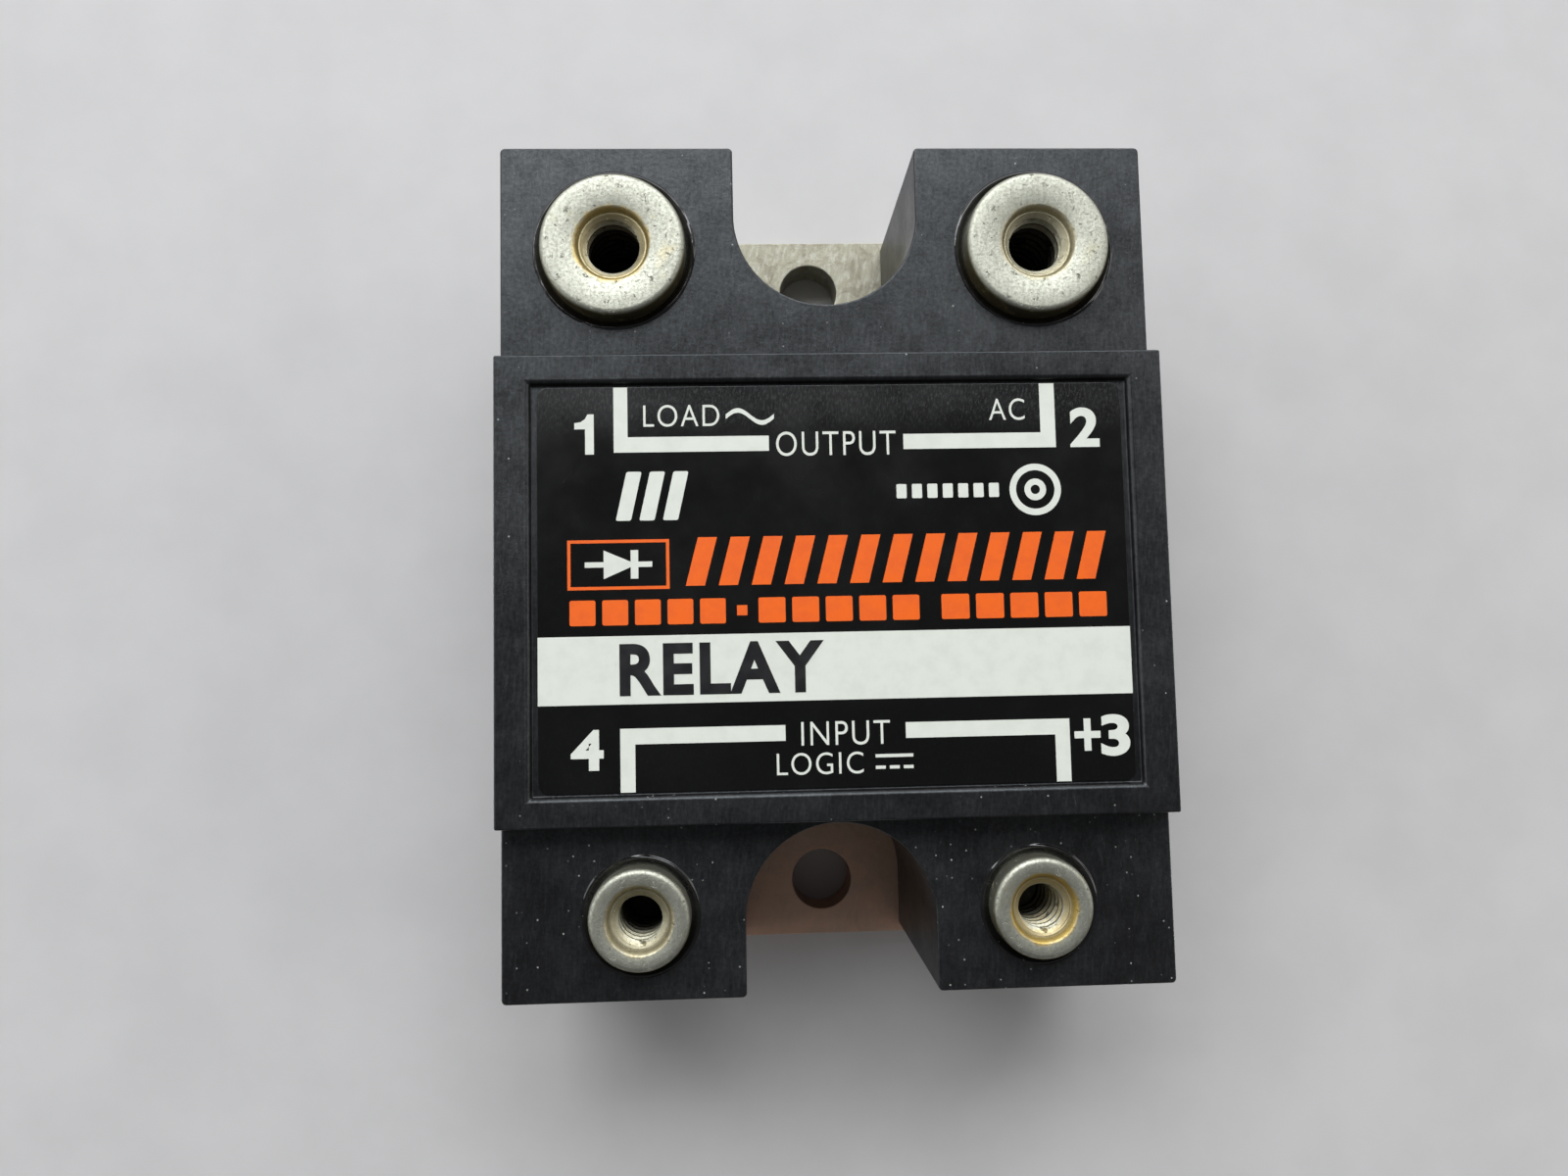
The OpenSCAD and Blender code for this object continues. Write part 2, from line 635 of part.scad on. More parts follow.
// The posts as the potting meets them: the body, and the rivet under the board
module post_voids(x, y, d, shank_d, grip, grow) {
    at_posts(x, y) {
        translate([0, 0, board_top_z]) cylinder(d = d, h = post_h, $fn = 96);
        translate([0, 0, board_top_z - grip - rivet_t - grow])
            cylinder(d = shank_d + 2 * rivet_lip + 2 * grow, h = rivet_t + grip + grow);
    }
}

module potting_compound() {
    color([0.04, 0.04, 0.05]) difference() {
        union() {
            cavity(0);
            terminal_wells(plate_t, seal_z - plate_t);
        }
        potted_parts(potting_gap);
        post_voids(output_x, output_row_y, output_post_d, output_shank_d, board_t + strap_t, potting_gap);
        post_voids(input_x, input_row_y, input_post_d, input_shank_d, board_t, potting_gap);
    }
}

base_plate();
housing();
label();
potting_compound();
output_terminal_1();
output_terminal_2();
input_terminal_3();
input_terminal_4();
ceramic_substrate();
copper_pads();
thyristor_die_1();
thyristor_die_2();
cathode_clip_1();
cathode_clip_2();
gate_leads();
output_strap_1();
output_strap_2();
control_board();
optocoupler();
snubber_capacitor();
snubber_resistor();
gate_resistors();
bias_resistors();
input_resistor();
input_diode();
bridge_diodes();
filter_capacitor();
limiter_transistor();
trigger_thyristor();
solder_joints();
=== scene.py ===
"""Looks for a panel-mount solid state relay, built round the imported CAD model.

Pieces are modelled in millimetres in the CAD model's own frame, and each is brought to metres
when it is delivered. The origin is the middle of the base plate's underside, +Z is up and +Y
points to the output end.
"""

import logging
import math
from collections.abc import Callable, Iterable, Sequence
from dataclasses import dataclass, field
from enum import Enum
from typing import ClassVar

import bpy
from mathutils import Euler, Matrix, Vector, noise


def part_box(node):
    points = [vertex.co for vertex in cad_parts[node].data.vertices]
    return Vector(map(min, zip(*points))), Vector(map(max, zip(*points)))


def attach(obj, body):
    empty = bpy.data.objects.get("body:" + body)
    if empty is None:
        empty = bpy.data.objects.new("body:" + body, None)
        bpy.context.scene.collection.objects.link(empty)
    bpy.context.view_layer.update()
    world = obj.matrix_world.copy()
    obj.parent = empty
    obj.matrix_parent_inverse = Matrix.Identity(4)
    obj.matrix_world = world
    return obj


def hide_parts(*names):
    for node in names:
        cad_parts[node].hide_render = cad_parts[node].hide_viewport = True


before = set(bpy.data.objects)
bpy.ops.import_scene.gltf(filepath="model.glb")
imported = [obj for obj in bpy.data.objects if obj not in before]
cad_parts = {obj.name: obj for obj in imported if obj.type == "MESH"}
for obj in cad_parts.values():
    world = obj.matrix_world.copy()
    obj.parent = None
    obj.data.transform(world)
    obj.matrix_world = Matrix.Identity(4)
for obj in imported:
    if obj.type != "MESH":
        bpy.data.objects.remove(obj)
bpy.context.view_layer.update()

LOG = logging.getLogger("relay")
MM = 0.001
ROOT = "root"

# The control board that the small parts stand on, in millimetres
BOARD_TOP = 11.6
BOARD_FOOT = 10.0
PART_LIFT = 0.4
LEAD_R = 0.3

# How far apart two places may be and still count as one, in millimetres
NEAR = 0.01

Point2 = tuple[float, float]
Point3 = tuple[float, float, float]
Colour = tuple[float, float, float]


# The frame in millimetres ----------------------------------------------------------------------

@dataclass(frozen=True)
class Box:
    """The lowest and highest corner of something, in millimetres."""

    low: Vector
    high: Vector

    @classmethod
    def of(cls, node: str) -> "Box":
        """Return the box of a CAD node."""
        low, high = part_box(node)
        return cls(low / MM, high / MM)

    @property
    def middle(self) -> Vector:
        """Return the middle of the box."""
        return (self.low + self.high) / 2

    @property
    def plan(self) -> Point2:
        """Return the middle of the box in plan."""
        return (self.middle.x, self.middle.y)

    @property
    def size(self) -> Vector:
        """Return the three sides of the box."""
        return self.high - self.low


# Modelling -------------------------------------------------------------------------------------

def pick_alone(obj: bpy.types.Object) -> None:
    """Leave one object selected and active, in object mode.

    Args:
        obj: The object to work on.
    """
    if bpy.context.mode != "OBJECT":
        bpy.ops.object.mode_set(mode="OBJECT")
    bpy.ops.object.select_all(action="DESELECT")
    obj.select_set(True)
    bpy.context.view_layer.objects.active = obj


def arc(centre: Point2, radius: float, start: float, end: float, steps: int) -> list[Point2]:
    """Return the steps + 1 points of an arc, from one angle in degrees to another."""
    angles = [math.radians(start + (end - start) * i / steps) for i in range(steps + 1)]
    return [(centre[0] + radius * math.cos(a), centre[1] + radius * math.sin(a)) for a in angles]


@dataclass
class Solid:
    """A closed mesh in the making, in millimetres."""

    obj: bpy.types.Object

    @classmethod
    def box(cls, low: Sequence[float], high: Sequence[float]) -> "Solid":
        """Return a box between two corners.

        Args:
            low: The lowest corner.
            high: The highest corner.

        Returns:
            The box.
        """
        middle = [(a + b) / 2 for a, b in zip(low, high)]
        sides = [b - a for a, b in zip(low, high)]
        bpy.ops.mesh.primitive_cube_add(size=1, location=middle, scale=sides)
        return cls(bpy.context.object).settled()

    @classmethod
    def rod(cls, at: Point2, radius: float, low: float, high: float, sides: int = 64) -> "Solid":
        """Return an upright rod.

        Args:
            at: The rod's axis in plan.
            radius: The rod's radius.
            low: The height of its foot.
            high: The height of its top.
            sides: The number of its sides.

        Returns:
            The rod.
        """
        bpy.ops.mesh.primitive_cylinder_add(
            vertices=sides, radius=radius, depth=high - low, location=(at[0], at[1], (low + high) / 2)
        )
        return cls(bpy.context.object).settled()

    @classmethod
    def trace(cls, points: Sequence[Point3], closed: bool) -> "Solid":
        """Return a line of edges, drawn by extruding one vertex from point to point.

        Args:
            points: The points to pass through.
            closed: Whether the line closes and is filled with a face.

        Returns:
            The line or the face, left in edit mode with all of it selected.
        """
        bpy.ops.mesh.primitive_plane_add(size=1, location=(0, 0, 0))
        made = cls(bpy.context.object)
        bpy.ops.object.mode_set(mode="EDIT")
        bpy.ops.mesh.select_mode(type="VERT")
        bpy.ops.mesh.select_all(action="SELECT")
        bpy.ops.mesh.merge(type="CENTER")
        bpy.ops.transform.translate(value=points[0])
        for last, here in zip(points, points[1:]):
            step = tuple(b - a for a, b in zip(last, here))
            bpy.ops.mesh.extrude_vertices_move(TRANSFORM_OT_translate={"value": step})
        bpy.ops.mesh.select_all(action="SELECT")
        if closed:
            bpy.ops.mesh.edge_face_add()
        return made

    @classmethod
    def prism(cls, outline: Sequence[Point2], low: float, high: float) -> "Solid":
        """Return an outline in plan, extruded upwards.

        Args:
            outline: The outline's corners, in order.
            low: The height of its foot.
            high: The height of its top.

        Returns:
            The prism.
        """
        made = cls.trace([(x, y, low) for x, y in outline], closed=True)
        bpy.ops.mesh.extrude_region_move(TRANSFORM_OT_translate={"value": (0, 0, high - low)})
        return made.cleaned()

    @classmethod
    def lathe(
        cls, profile: Sequence[Point2], at: Point2 = (0, 0), steps: int = 72, ring: bool = False
    ) -> "Solid":
        """Return a turned shape.

        Args:
            profile: Radius and height of each point, from the axis round to the axis.
            at: The axis in plan.
            steps: The number of steps round.
            ring: Whether the profile is a closed loop that stays clear of the axis.

        Returns:
            The turned shape, closed.
        """
        points = [(at[0] + r, at[1], z) for r, z in profile]
        made = cls.trace(points + points[:1] if ring else points, closed=False)
        bpy.ops.mesh.spin(
            steps=steps, angle=2 * math.pi, center=(at[0], at[1], 0), axis=(0, 0, 1), use_auto_merge=True
        )
        return made.cleaned()

    def settled(self) -> "Solid":
        """Put the object's place and size into its mesh.

        Returns:
            The same solid.
        """
        pick_alone(self.obj)
        bpy.ops.object.transform_apply(location=True, rotation=True, scale=True)
        return self

    def cleaned(self) -> "Solid":
        """Merge doubled vertices, turn the faces outwards and leave edit mode.

        Returns:
            The same solid.
        """
        pick_alone(self.obj)
        bpy.ops.object.mode_set(mode="EDIT")
        bpy.ops.mesh.select_all(action="SELECT")
        bpy.ops.mesh.remove_doubles(threshold=0.0005)
        bpy.ops.mesh.dissolve_degenerate(threshold=0.0001)
        bpy.ops.mesh.select_all(action="SELECT")
        bpy.ops.mesh.normals_make_consistent(inside=False)
        bpy.ops.object.mode_set(mode="OBJECT")
        return self

    def combine(self, operation: str, tools: Iterable["Solid"]) -> "Solid":
        """Apply a boolean with each tool in turn, and use the tools up.

        Args:
            operation: The boolean's name, as Blender gives it.
            tools: The solids to apply.

        Returns:
            The same solid.
        """
        for tool in tools:
            pick_alone(self.obj)
            change = self.obj.modifiers.new(operation.lower(), "BOOLEAN")
            change.operation = operation
            change.solver = "EXACT"
            change.object = tool.obj
            bpy.ops.object.modifier_apply(modifier=change.name)
            bpy.data.objects.remove(tool.obj)
        return self

    def cut(self, *tools: "Solid") -> "Solid":
        """Cut the tools away."""
        return self.combine("DIFFERENCE", tools)

    def fuse(self, *tools: "Solid") -> "Solid":
        """Fuse the tools on."""
        return self.combine("UNION", tools)

    def joined(self, *others: "Solid") -> "Solid":
        """Take the others into this mesh as loose shells of their own.

        Args:
            *others: The solids to take in, which are used up.

        Returns:
            The same solid.
        """
        pick_alone(self.obj)
        for other in others:
            other.obj.select_set(True)
        if others:
            bpy.ops.object.join()
        return self

    def turned(self, angle: float, axis: str, about: Point3 = (0, 0, 0)) -> "Solid":
        """Turn the mesh by an angle in degrees about an axis through a point.

        Args:
            angle: The angle, in degrees.
            axis: The axis, X, Y or Z.
            about: The point that the axis goes through.

        Returns:
            The same solid.
        """
        pick_alone(self.obj)
        pivot = Vector(about)
        turn = Euler([math.radians(angle) if axis == a else 0 for a in "XYZ"])
        self.obj.location = pivot - turn.to_matrix() @ pivot
        self.obj.rotation_euler = turn
        return self.settled()

    def moved(self, shift: Point3) -> "Solid":
        """Move the mesh."""
        self.obj.location = shift
        return self.settled()

    def edges_picked(self, test: Callable[[Vector, Vector], bool]) -> None:
        """Enter edit mode with only the edges selected whose two ends pass the test.

        Args:
            test: What an edge's ends have to pass.
        """
        pick_alone(self.obj)
        bpy.ops.object.mode_set(mode="EDIT")
        bpy.ops.mesh.select_mode(type="EDGE")
        bpy.ops.mesh.select_all(action="DESELECT")
        bpy.ops.object.mode_set(mode="OBJECT")
        mesh = self.obj.data
        for edge in mesh.edges:
            a, b = (mesh.vertices[v].co for v in edge.vertices)
            edge.select = test(a, b)
        bpy.ops.object.mode_set(mode="EDIT")

    def rounded(
        self, test: Callable[[Vector, Vector], bool], radius: float, steps: int = 3
    ) -> "Solid":
        """Round the edges whose two ends pass a test.

        Args:
            test: What an edge's ends have to pass.
            radius: The radius of the round.
            steps: The number of faces across it.

        Returns:
            The same solid.
        """
        self.edges_picked(test)
        bpy.ops.mesh.bevel(offset=radius, segments=steps, affect="EDGES", clamp_overlap=True)
        bpy.ops.object.mode_set(mode="OBJECT")
        return self

    def softened(self, width: float, steps: int = 2, angle: float = 35) -> "Solid":
        """Bevel every edge sharper than an angle in degrees.

        Args:
            width: The width of the bevel.
            steps: The number of faces across it.
            angle: The least angle between two faces whose edge is bevelled, in degrees.

        Returns:
            The same solid.
        """
        pick_alone(self.obj)
        change = self.obj.modifiers.new("soften", "BEVEL")
        change.width = width
        change.segments = steps
        change.limit_method = "ANGLE"
        change.angle_limit = math.radians(angle)
        change.miter_outer = "MITER_ARC"
        change.use_clamp_overlap = True
        bpy.ops.object.modifier_apply(modifier=change.name)
        return self


def bent_wire(path: Sequence[Point3], radius: float, bend: float, sides: int = 12) -> Solid:
    """Return a round wire along straight runs with bent corners.

    Args:
        path: The wire's corners. The first run is upright, and each turn is square.
        radius: The wire's radius.
        bend: The radius of its bends, along the middle of the wire.
        sides: The number of sides round it.

    Returns:
        The wire, closed at both ends.
    """
    corners = [Vector(p) for p in path]
    bpy.ops.mesh.primitive_circle_add(
        vertices=sides, radius=radius, fill_type="NGON", location=corners[0]
    )
    wire = Solid(bpy.context.object).settled()
    bpy.ops.object.mode_set(mode="EDIT")
    bpy.ops.mesh.select_mode(type="FACE")
    bpy.ops.mesh.select_all(action="SELECT")
    here = corners[0]
    for i, corner in enumerate(corners[1:], start=1):
        along = (corner - here).normalized()
        last = i == len(corners) - 1
        stop = corner if last else corner - along * bend
        bpy.ops.mesh.extrude_region_move(TRANSFORM_OT_translate={"value": stop - here})
        here = stop
        if not last:
            onward = (corners[i + 1] - corner).normalized()
            bpy.ops.mesh.spin(
                steps=6, angle=math.pi / 2, center=stop + onward * bend, axis=along.cross(onward)
            )
            here = corner + onward * bend
    return wire.cleaned()


# Materials -------------------------------------------------------------------------------------

Socket = bpy.types.NodeSocket
Value = float | Socket


class Graph:
    """One procedural material in the making."""

    def __init__(self, name: str) -> None:
        """Start an empty material with one surface shader.

        Args:
            name: The material's name.
        """
        self.material = bpy.data.materials.new(name)
        self.material.use_nodes = True
        self.tree = self.material.node_tree
        self.tree.nodes.clear()
        out = self.tree.nodes.new("ShaderNodeOutputMaterial")
        self.shader = self.tree.nodes.new("ShaderNodeBsdfPrincipled")
        self.tree.links.new(self.shader.outputs["BSDF"], out.inputs["Surface"])
        self.object_place = self.tree.nodes.new("ShaderNodeTexCoord").outputs["Object"]

    def put(self, socket: Socket, value: Value | Sequence[float]) -> None:
        """Link a socket into another, or set its value.

        Args:
            socket: The input to fill.
            value: The output to link into it, or the value to give it.
        """
        if isinstance(value, bpy.types.NodeSocket):
            self.tree.links.new(value, socket)
        elif isinstance(value, (int, float)):
            socket.default_value = value
        elif len(value) == 3 and len(socket.default_value) == 4:
            socket.default_value = (*value, 1)
        else:
            socket.default_value = value

    def place(
        self, stretch: Point3 = (1, 1, 1), turn: Point3 = (0, 0, 0), centre: Point3 = (0, 0, 0)
    ) -> Socket:
        """Return object coordinates in millimetres.

        Args:
            stretch: How many times finer a pattern gets along each axis.
            turn: How far the pattern is turned about each axis, in degrees.
            centre: The point that becomes the pattern's origin.

        Returns:
            The coordinates' socket.
        """
        shifted = self.tree.nodes.new("ShaderNodeMapping")
        shifted.inputs["Scale"].default_value = (1 / MM,) * 3
        shifted.inputs["Location"].default_value = [-c for c in centre]
        self.tree.links.new(self.object_place, shifted.inputs["Vector"])
        if turn == (0, 0, 0) and stretch == (1, 1, 1):
            return shifted.outputs[0]
        turned = self.tree.nodes.new("ShaderNodeMapping")
        turned.inputs["Rotation"].default_value = [math.radians(t) for t in turn]
        self.tree.links.new(shifted.outputs[0], turned.inputs["Vector"])
        stretched = self.tree.nodes.new("ShaderNodeMapping")
        stretched.inputs["Scale"].default_value = stretch
        self.tree.links.new(turned.outputs[0], stretched.inputs["Vector"])
        return stretched.outputs[0]

    def noise(
        self, place: Socket, scale: float, detail: float = 3, rough: float = 0.5, twist: float = 0
    ) -> Socket:
        """Return smooth noise from 0 to 1, with scale features a millimetre.

        Args:
            place: The coordinates, in millimetres.
            scale: How many features there are in a millimetre.
            detail: How many finer layers are added.
            rough: How strong the finer layers are.
            twist: How far the pattern is distorted.

        Returns:
            The noise.
        """
        node = self.tree.nodes.new("ShaderNodeTexNoise")
        self.put(node.inputs["Vector"], place)
        self.put(node.inputs["Scale"], scale)
        self.put(node.inputs["Detail"], detail)
        self.put(node.inputs["Roughness"], rough)
        self.put(node.inputs["Distortion"], twist)
        return node.outputs[0]

    def cells(self, place: Socket, scale: float) -> tuple[Socket, Socket]:
        """Return the distance to the nearest of a scatter of points, and each point's own colour.

        Args:
            place: The coordinates, in millimetres.
            scale: How many points there are in a millimetre.

        Returns:
            The distance and the colour.
        """
        node = self.tree.nodes.new("ShaderNodeTexVoronoi")
        self.put(node.inputs["Vector"], place)
        self.put(node.inputs["Scale"], scale)
        return node.outputs["Distance"], node.outputs["Color"]

    def math(self, operation: str, a: Value, b: Value = 0.0) -> Socket:
        """Return the result of a sum on two values.

        Args:
            operation: The sum's name, as Blender gives it.
            a: The first value.
            b: The second value.

        Returns:
            The result.
        """
        node = self.tree.nodes.new("ShaderNodeMath")
        node.operation = operation
        self.put(node.inputs[0], a)
        self.put(node.inputs[1], b)
        return node.outputs[0]

    def times(self, a: Value, b: Value) -> Socket:
        """Return the product of two values."""
        return self.math("MULTIPLY", a, b)

    def plus(self, a: Value, b: Value) -> Socket:
        """Return the sum of two values."""
        return self.math("ADD", a, b)

    def span(self, value: Socket, low: float, high: float, to: Point2 = (0, 1)) -> Socket:
        """Return a value brought from one span to another, and held at the ends.

        Args:
            value: The value.
            low: The value that becomes the first end.
            high: The value that becomes the second end.
            to: The two ends.

        Returns:
            The value in the new span, eased at both ends.
        """
        node = self.tree.nodes.new("ShaderNodeMapRange")
        node.interpolation_type = "SMOOTHSTEP"
        for name, given in (
            ("Value", value), ("From Min", low), ("From Max", high), ("To Min", to[0]), ("To Max", to[1])
        ):
            self.put(node.inputs[name], given)
        return node.outputs[0]

    def mix(self, share: Value, a: Socket | Colour, b: Socket | Colour) -> Socket:
        """Return a blend of two colours.

        Args:
            share: How much of the second colour there is, from 0 to 1.
            a: The first colour.
            b: The second colour.

        Returns:
            The blend.
        """
        node = self.tree.nodes.new("ShaderNodeMix")
        node.data_type = "RGBA"
        self.put(node.inputs[0], share)
        self.put(node.inputs[6], a)
        self.put(node.inputs[7], b)
        return node.outputs[2]

    def parts(self, vector: Socket) -> list[Socket]:
        """Return the three parts of a vector or a colour.

        Args:
            vector: The vector or colour.

        Returns:
            Its parts.
        """
        node = self.tree.nodes.new("ShaderNodeSeparateXYZ")
        self.put(node.inputs[0], vector)
        return list(node.outputs)

    def radius(self, place: Socket) -> Socket:
        """Return the distance from the pattern's upright axis."""
        x, y, _ = self.parts(place)
        return self.math("SQRT", self.plus(self.times(x, x), self.times(y, y)))

    def bump(self, height: Socket, depth: float, under: Socket | None = None) -> Socket:
        """Return a normal raised by a height map.

        Args:
            height: The map, from 0 to 1.
            depth: How deep the relief is, in millimetres.
            under: A normal that this relief lies on.

        Returns:
            The normal's socket.
        """
        node = self.tree.nodes.new("ShaderNodeBump")
        self.put(node.inputs["Height"], height)
        self.put(node.inputs["Strength"], 1.0)
        self.put(node.inputs["Distance"], depth * MM)
        if under is not None:
            self.put(node.inputs["Normal"], under)
        return node.outputs[0]

    def finish(
        self, colour: Socket | Colour, rough: Value, normal: Socket | None = None, **fixed: Value | Colour
    ) -> bpy.types.Material:
        """Dress the shader and return the material.

        Args:
            colour: The surface's colour.
            rough: Its roughness.
            normal: Its normal, if it has relief.
            **fixed: Further sockets of the shader, named with underscores for spaces.

        Returns:
            The finished material.
        """
        self.put(self.shader.inputs["Base Color"], colour)
        self.put(self.shader.inputs["Roughness"], rough)
        if normal is not None:
            self.put(self.shader.inputs["Normal"], normal)
        for name, value in fixed.items():
            self.put(self.shader.inputs[name.replace("_", " ")], value)
        return self.material


class Finish:
    """A surface finish, which makes its material once."""

    made: ClassVar[dict["Finish", bpy.types.Material]] = {}

    def material(self) -> bpy.types.Material:
        """Return the finish's material.

        Returns:
            The material, made when it is first asked for.
        """
        if self not in Finish.made:
            Finish.made[self] = self.build()
        return Finish.made[self]

    def build(self) -> bpy.types.Material:
        """Make the material."""
        raise NotImplementedError


@dataclass(frozen=True)
class MouldedShell(Finish):
    """Charcoal thermoset moulding, semi-matte, with scuffs and dust."""

    colour: Colour = (0.0045, 0.0043, 0.0045)
    worn: Colour = (0.046, 0.048, 0.051)
    dust: Colour = (0.40, 0.41, 0.40)
    sheen_tint: Colour = (0.90, 0.96, 1.0)
    dusty_y: float = -15.0

    def build(self) -> bpy.types.Material:
        """Make the material.

        Returns:
            The material.
        """
        g = Graph("moulded_shell")
        mm = g.place()
        _, along, _ = g.parts(mm)
        cloud = g.noise(mm, 0.16, 5, 0.62)
        mottle = g.noise(mm, 0.55, 6, 0.68)
        grain = g.noise(mm, 3.6, 4, 0.7)
        brushed = g.noise(g.place(stretch=(5.0, 0.8, 1.5), turn=(0, 0, 4)), 1.2, 6, 0.72)
        rub = g.noise(g.place(stretch=(0.5, 6.0, 2.0), turn=(0, 0, 78)), 0.9, 5, 0.62)
        scuffs = g.span(rub, 0.58, 0.74)
        patches = g.span(g.noise(mm, 0.20, 3, 0.55), 0.50, 0.68)
        scuffed = g.times(scuffs, patches)
        speck = self.specks(g, mm, along)
        tone = g.mix(g.span(mottle, 0.35, 0.75), self.colour, [c * 1.6 for c in self.colour])
        tone = g.mix(g.times(g.span(brushed, 0.52, 0.78), 0.10), tone, self.worn)
        tone = g.mix(g.times(scuffed, 0.5), tone, self.worn)
        tone = g.mix(g.times(speck, 0.75), tone, self.dust)
        rough = g.span(cloud, 0.3, 0.7, (0.34, 0.44))
        rough = g.plus(rough, g.span(brushed, 0.35, 0.75, (-0.03, 0.06)))
        sheen = g.span(mottle, 0.30, 0.72, (0.48, 0.62))
        sheen = g.plus(sheen, g.span(grain, 0.35, 0.7, (-0.09, 0.11)))
        sheen = g.plus(sheen, g.span(brushed, 0.38, 0.68, (-0.05, 0.08)))
        sheen = g.times(sheen, g.span(cloud, 0.32, 0.68, (0.90, 1.12)))
        relief = g.bump(grain, 0.012)
        relief = g.bump(mottle, 0.012, relief)
        relief = g.bump(brushed, 0.012, relief)
        return g.finish(tone, rough, relief, Specular_IOR_Level=sheen, Specular_Tint=self.sheen_tint)

    def specks(self, g: Graph, mm: Socket, along: Socket) -> Socket:
        """Return where dust lies, which is mostly on the input deck.

        Args:
            g: The material in the making.
            mm: Its coordinates in millimetres.
            along: Their part along the relay.

        Returns:
            1 on a bright speck and 0 elsewhere.
        """
        near, tint = g.cells(mm, 3.1)
        chance, strength, _ = g.parts(tint)
        share = g.span(along, self.dusty_y + 2, self.dusty_y - 2, (0.972, 0.90))
        chosen = g.times(g.math("GREATER_THAN", chance, share), strength)
        return g.times(g.span(near, 0.24, 0.12), chosen)


@dataclass(frozen=True)
class PrintedFilm(Finish):
    """Satin black label film with fine rubs."""

    colour: Colour = (0.0020, 0.0020, 0.0021)
    rub_and_highlight: Colour = (0.075, 0.079, 0.078)
    dusty_y: float = 8.5

    def build(self) -> bpy.types.Material:
        """Make the material.

        Returns:
            The material.
        """
        g = Graph("printed_film")
        mm = g.place()
        _, along, _ = g.parts(mm)
        broad = g.noise(mm, 0.16, 4, 0.6)
        fine = g.noise(g.place(stretch=(4.0, 1.3, 1.0), turn=(0, 0, 10)), 2.0, 5, 0.8)
        slanted = g.place(stretch=(0.35, 11.0, 1.0), turn=(0, 0, -55))
        scratch = g.span(g.noise(slanted, 0.8, 4, 0.6), 0.70, 0.80)
        smear = g.span(broad, 0.50, 0.74)
        strip = g.span(along, self.dusty_y - 1.2, self.dusty_y + 1.6, (0.05, 1.0))
        streaks = g.times(g.span(fine, 0.47, 0.66), g.times(strip, 0.48))
        tone = g.mix(streaks, self.colour, self.rub_and_highlight)
        tone = g.mix(g.times(scratch, g.times(smear, 0.4)), tone, self.rub_and_highlight)
        rough = g.span(broad, 0.35, 0.7, (0.17, 0.28))
        rough = g.plus(rough, g.times(strip, 0.08))
        relief = g.bump(fine, 0.003)
        relief = g.bump(scratch, 0.002, relief)
        return g.finish(tone, rough, relief, Specular_IOR_Level=0.45)


@dataclass(frozen=True)
class PrintInk(Finish):
    """Screen-print ink with a slight mottle."""

    name: str
    colour: Colour
    shade: Colour
    rough: float = 0.45

    def build(self) -> bpy.types.Material:
        """Make the material.

        Returns:
            The material.
        """
        g = Graph(self.name)
        mm = g.place()
        mottle = g.noise(mm, 0.9, 5, 0.6)
        grit = g.noise(mm, 14, 3, 0.6)
        dragged = g.place(stretch=(1.2, 7.0, 1.0), turn=(0, 0, 70))
        thin = g.span(g.noise(dragged, 0.8, 4, 0.6), 0.68, 0.82)
        tone = g.mix(g.span(mottle, 0.35, 0.75), self.colour, self.shade)
        tone = g.mix(g.times(thin, 0.35), tone, [c * 0.55 for c in self.colour])
        rough = g.span(mottle, 0.3, 0.7, (self.rough, self.rough + 0.1))
        return g.finish(tone, rough, g.bump(grit, 0.0025), Specular_IOR_Level=0.45)


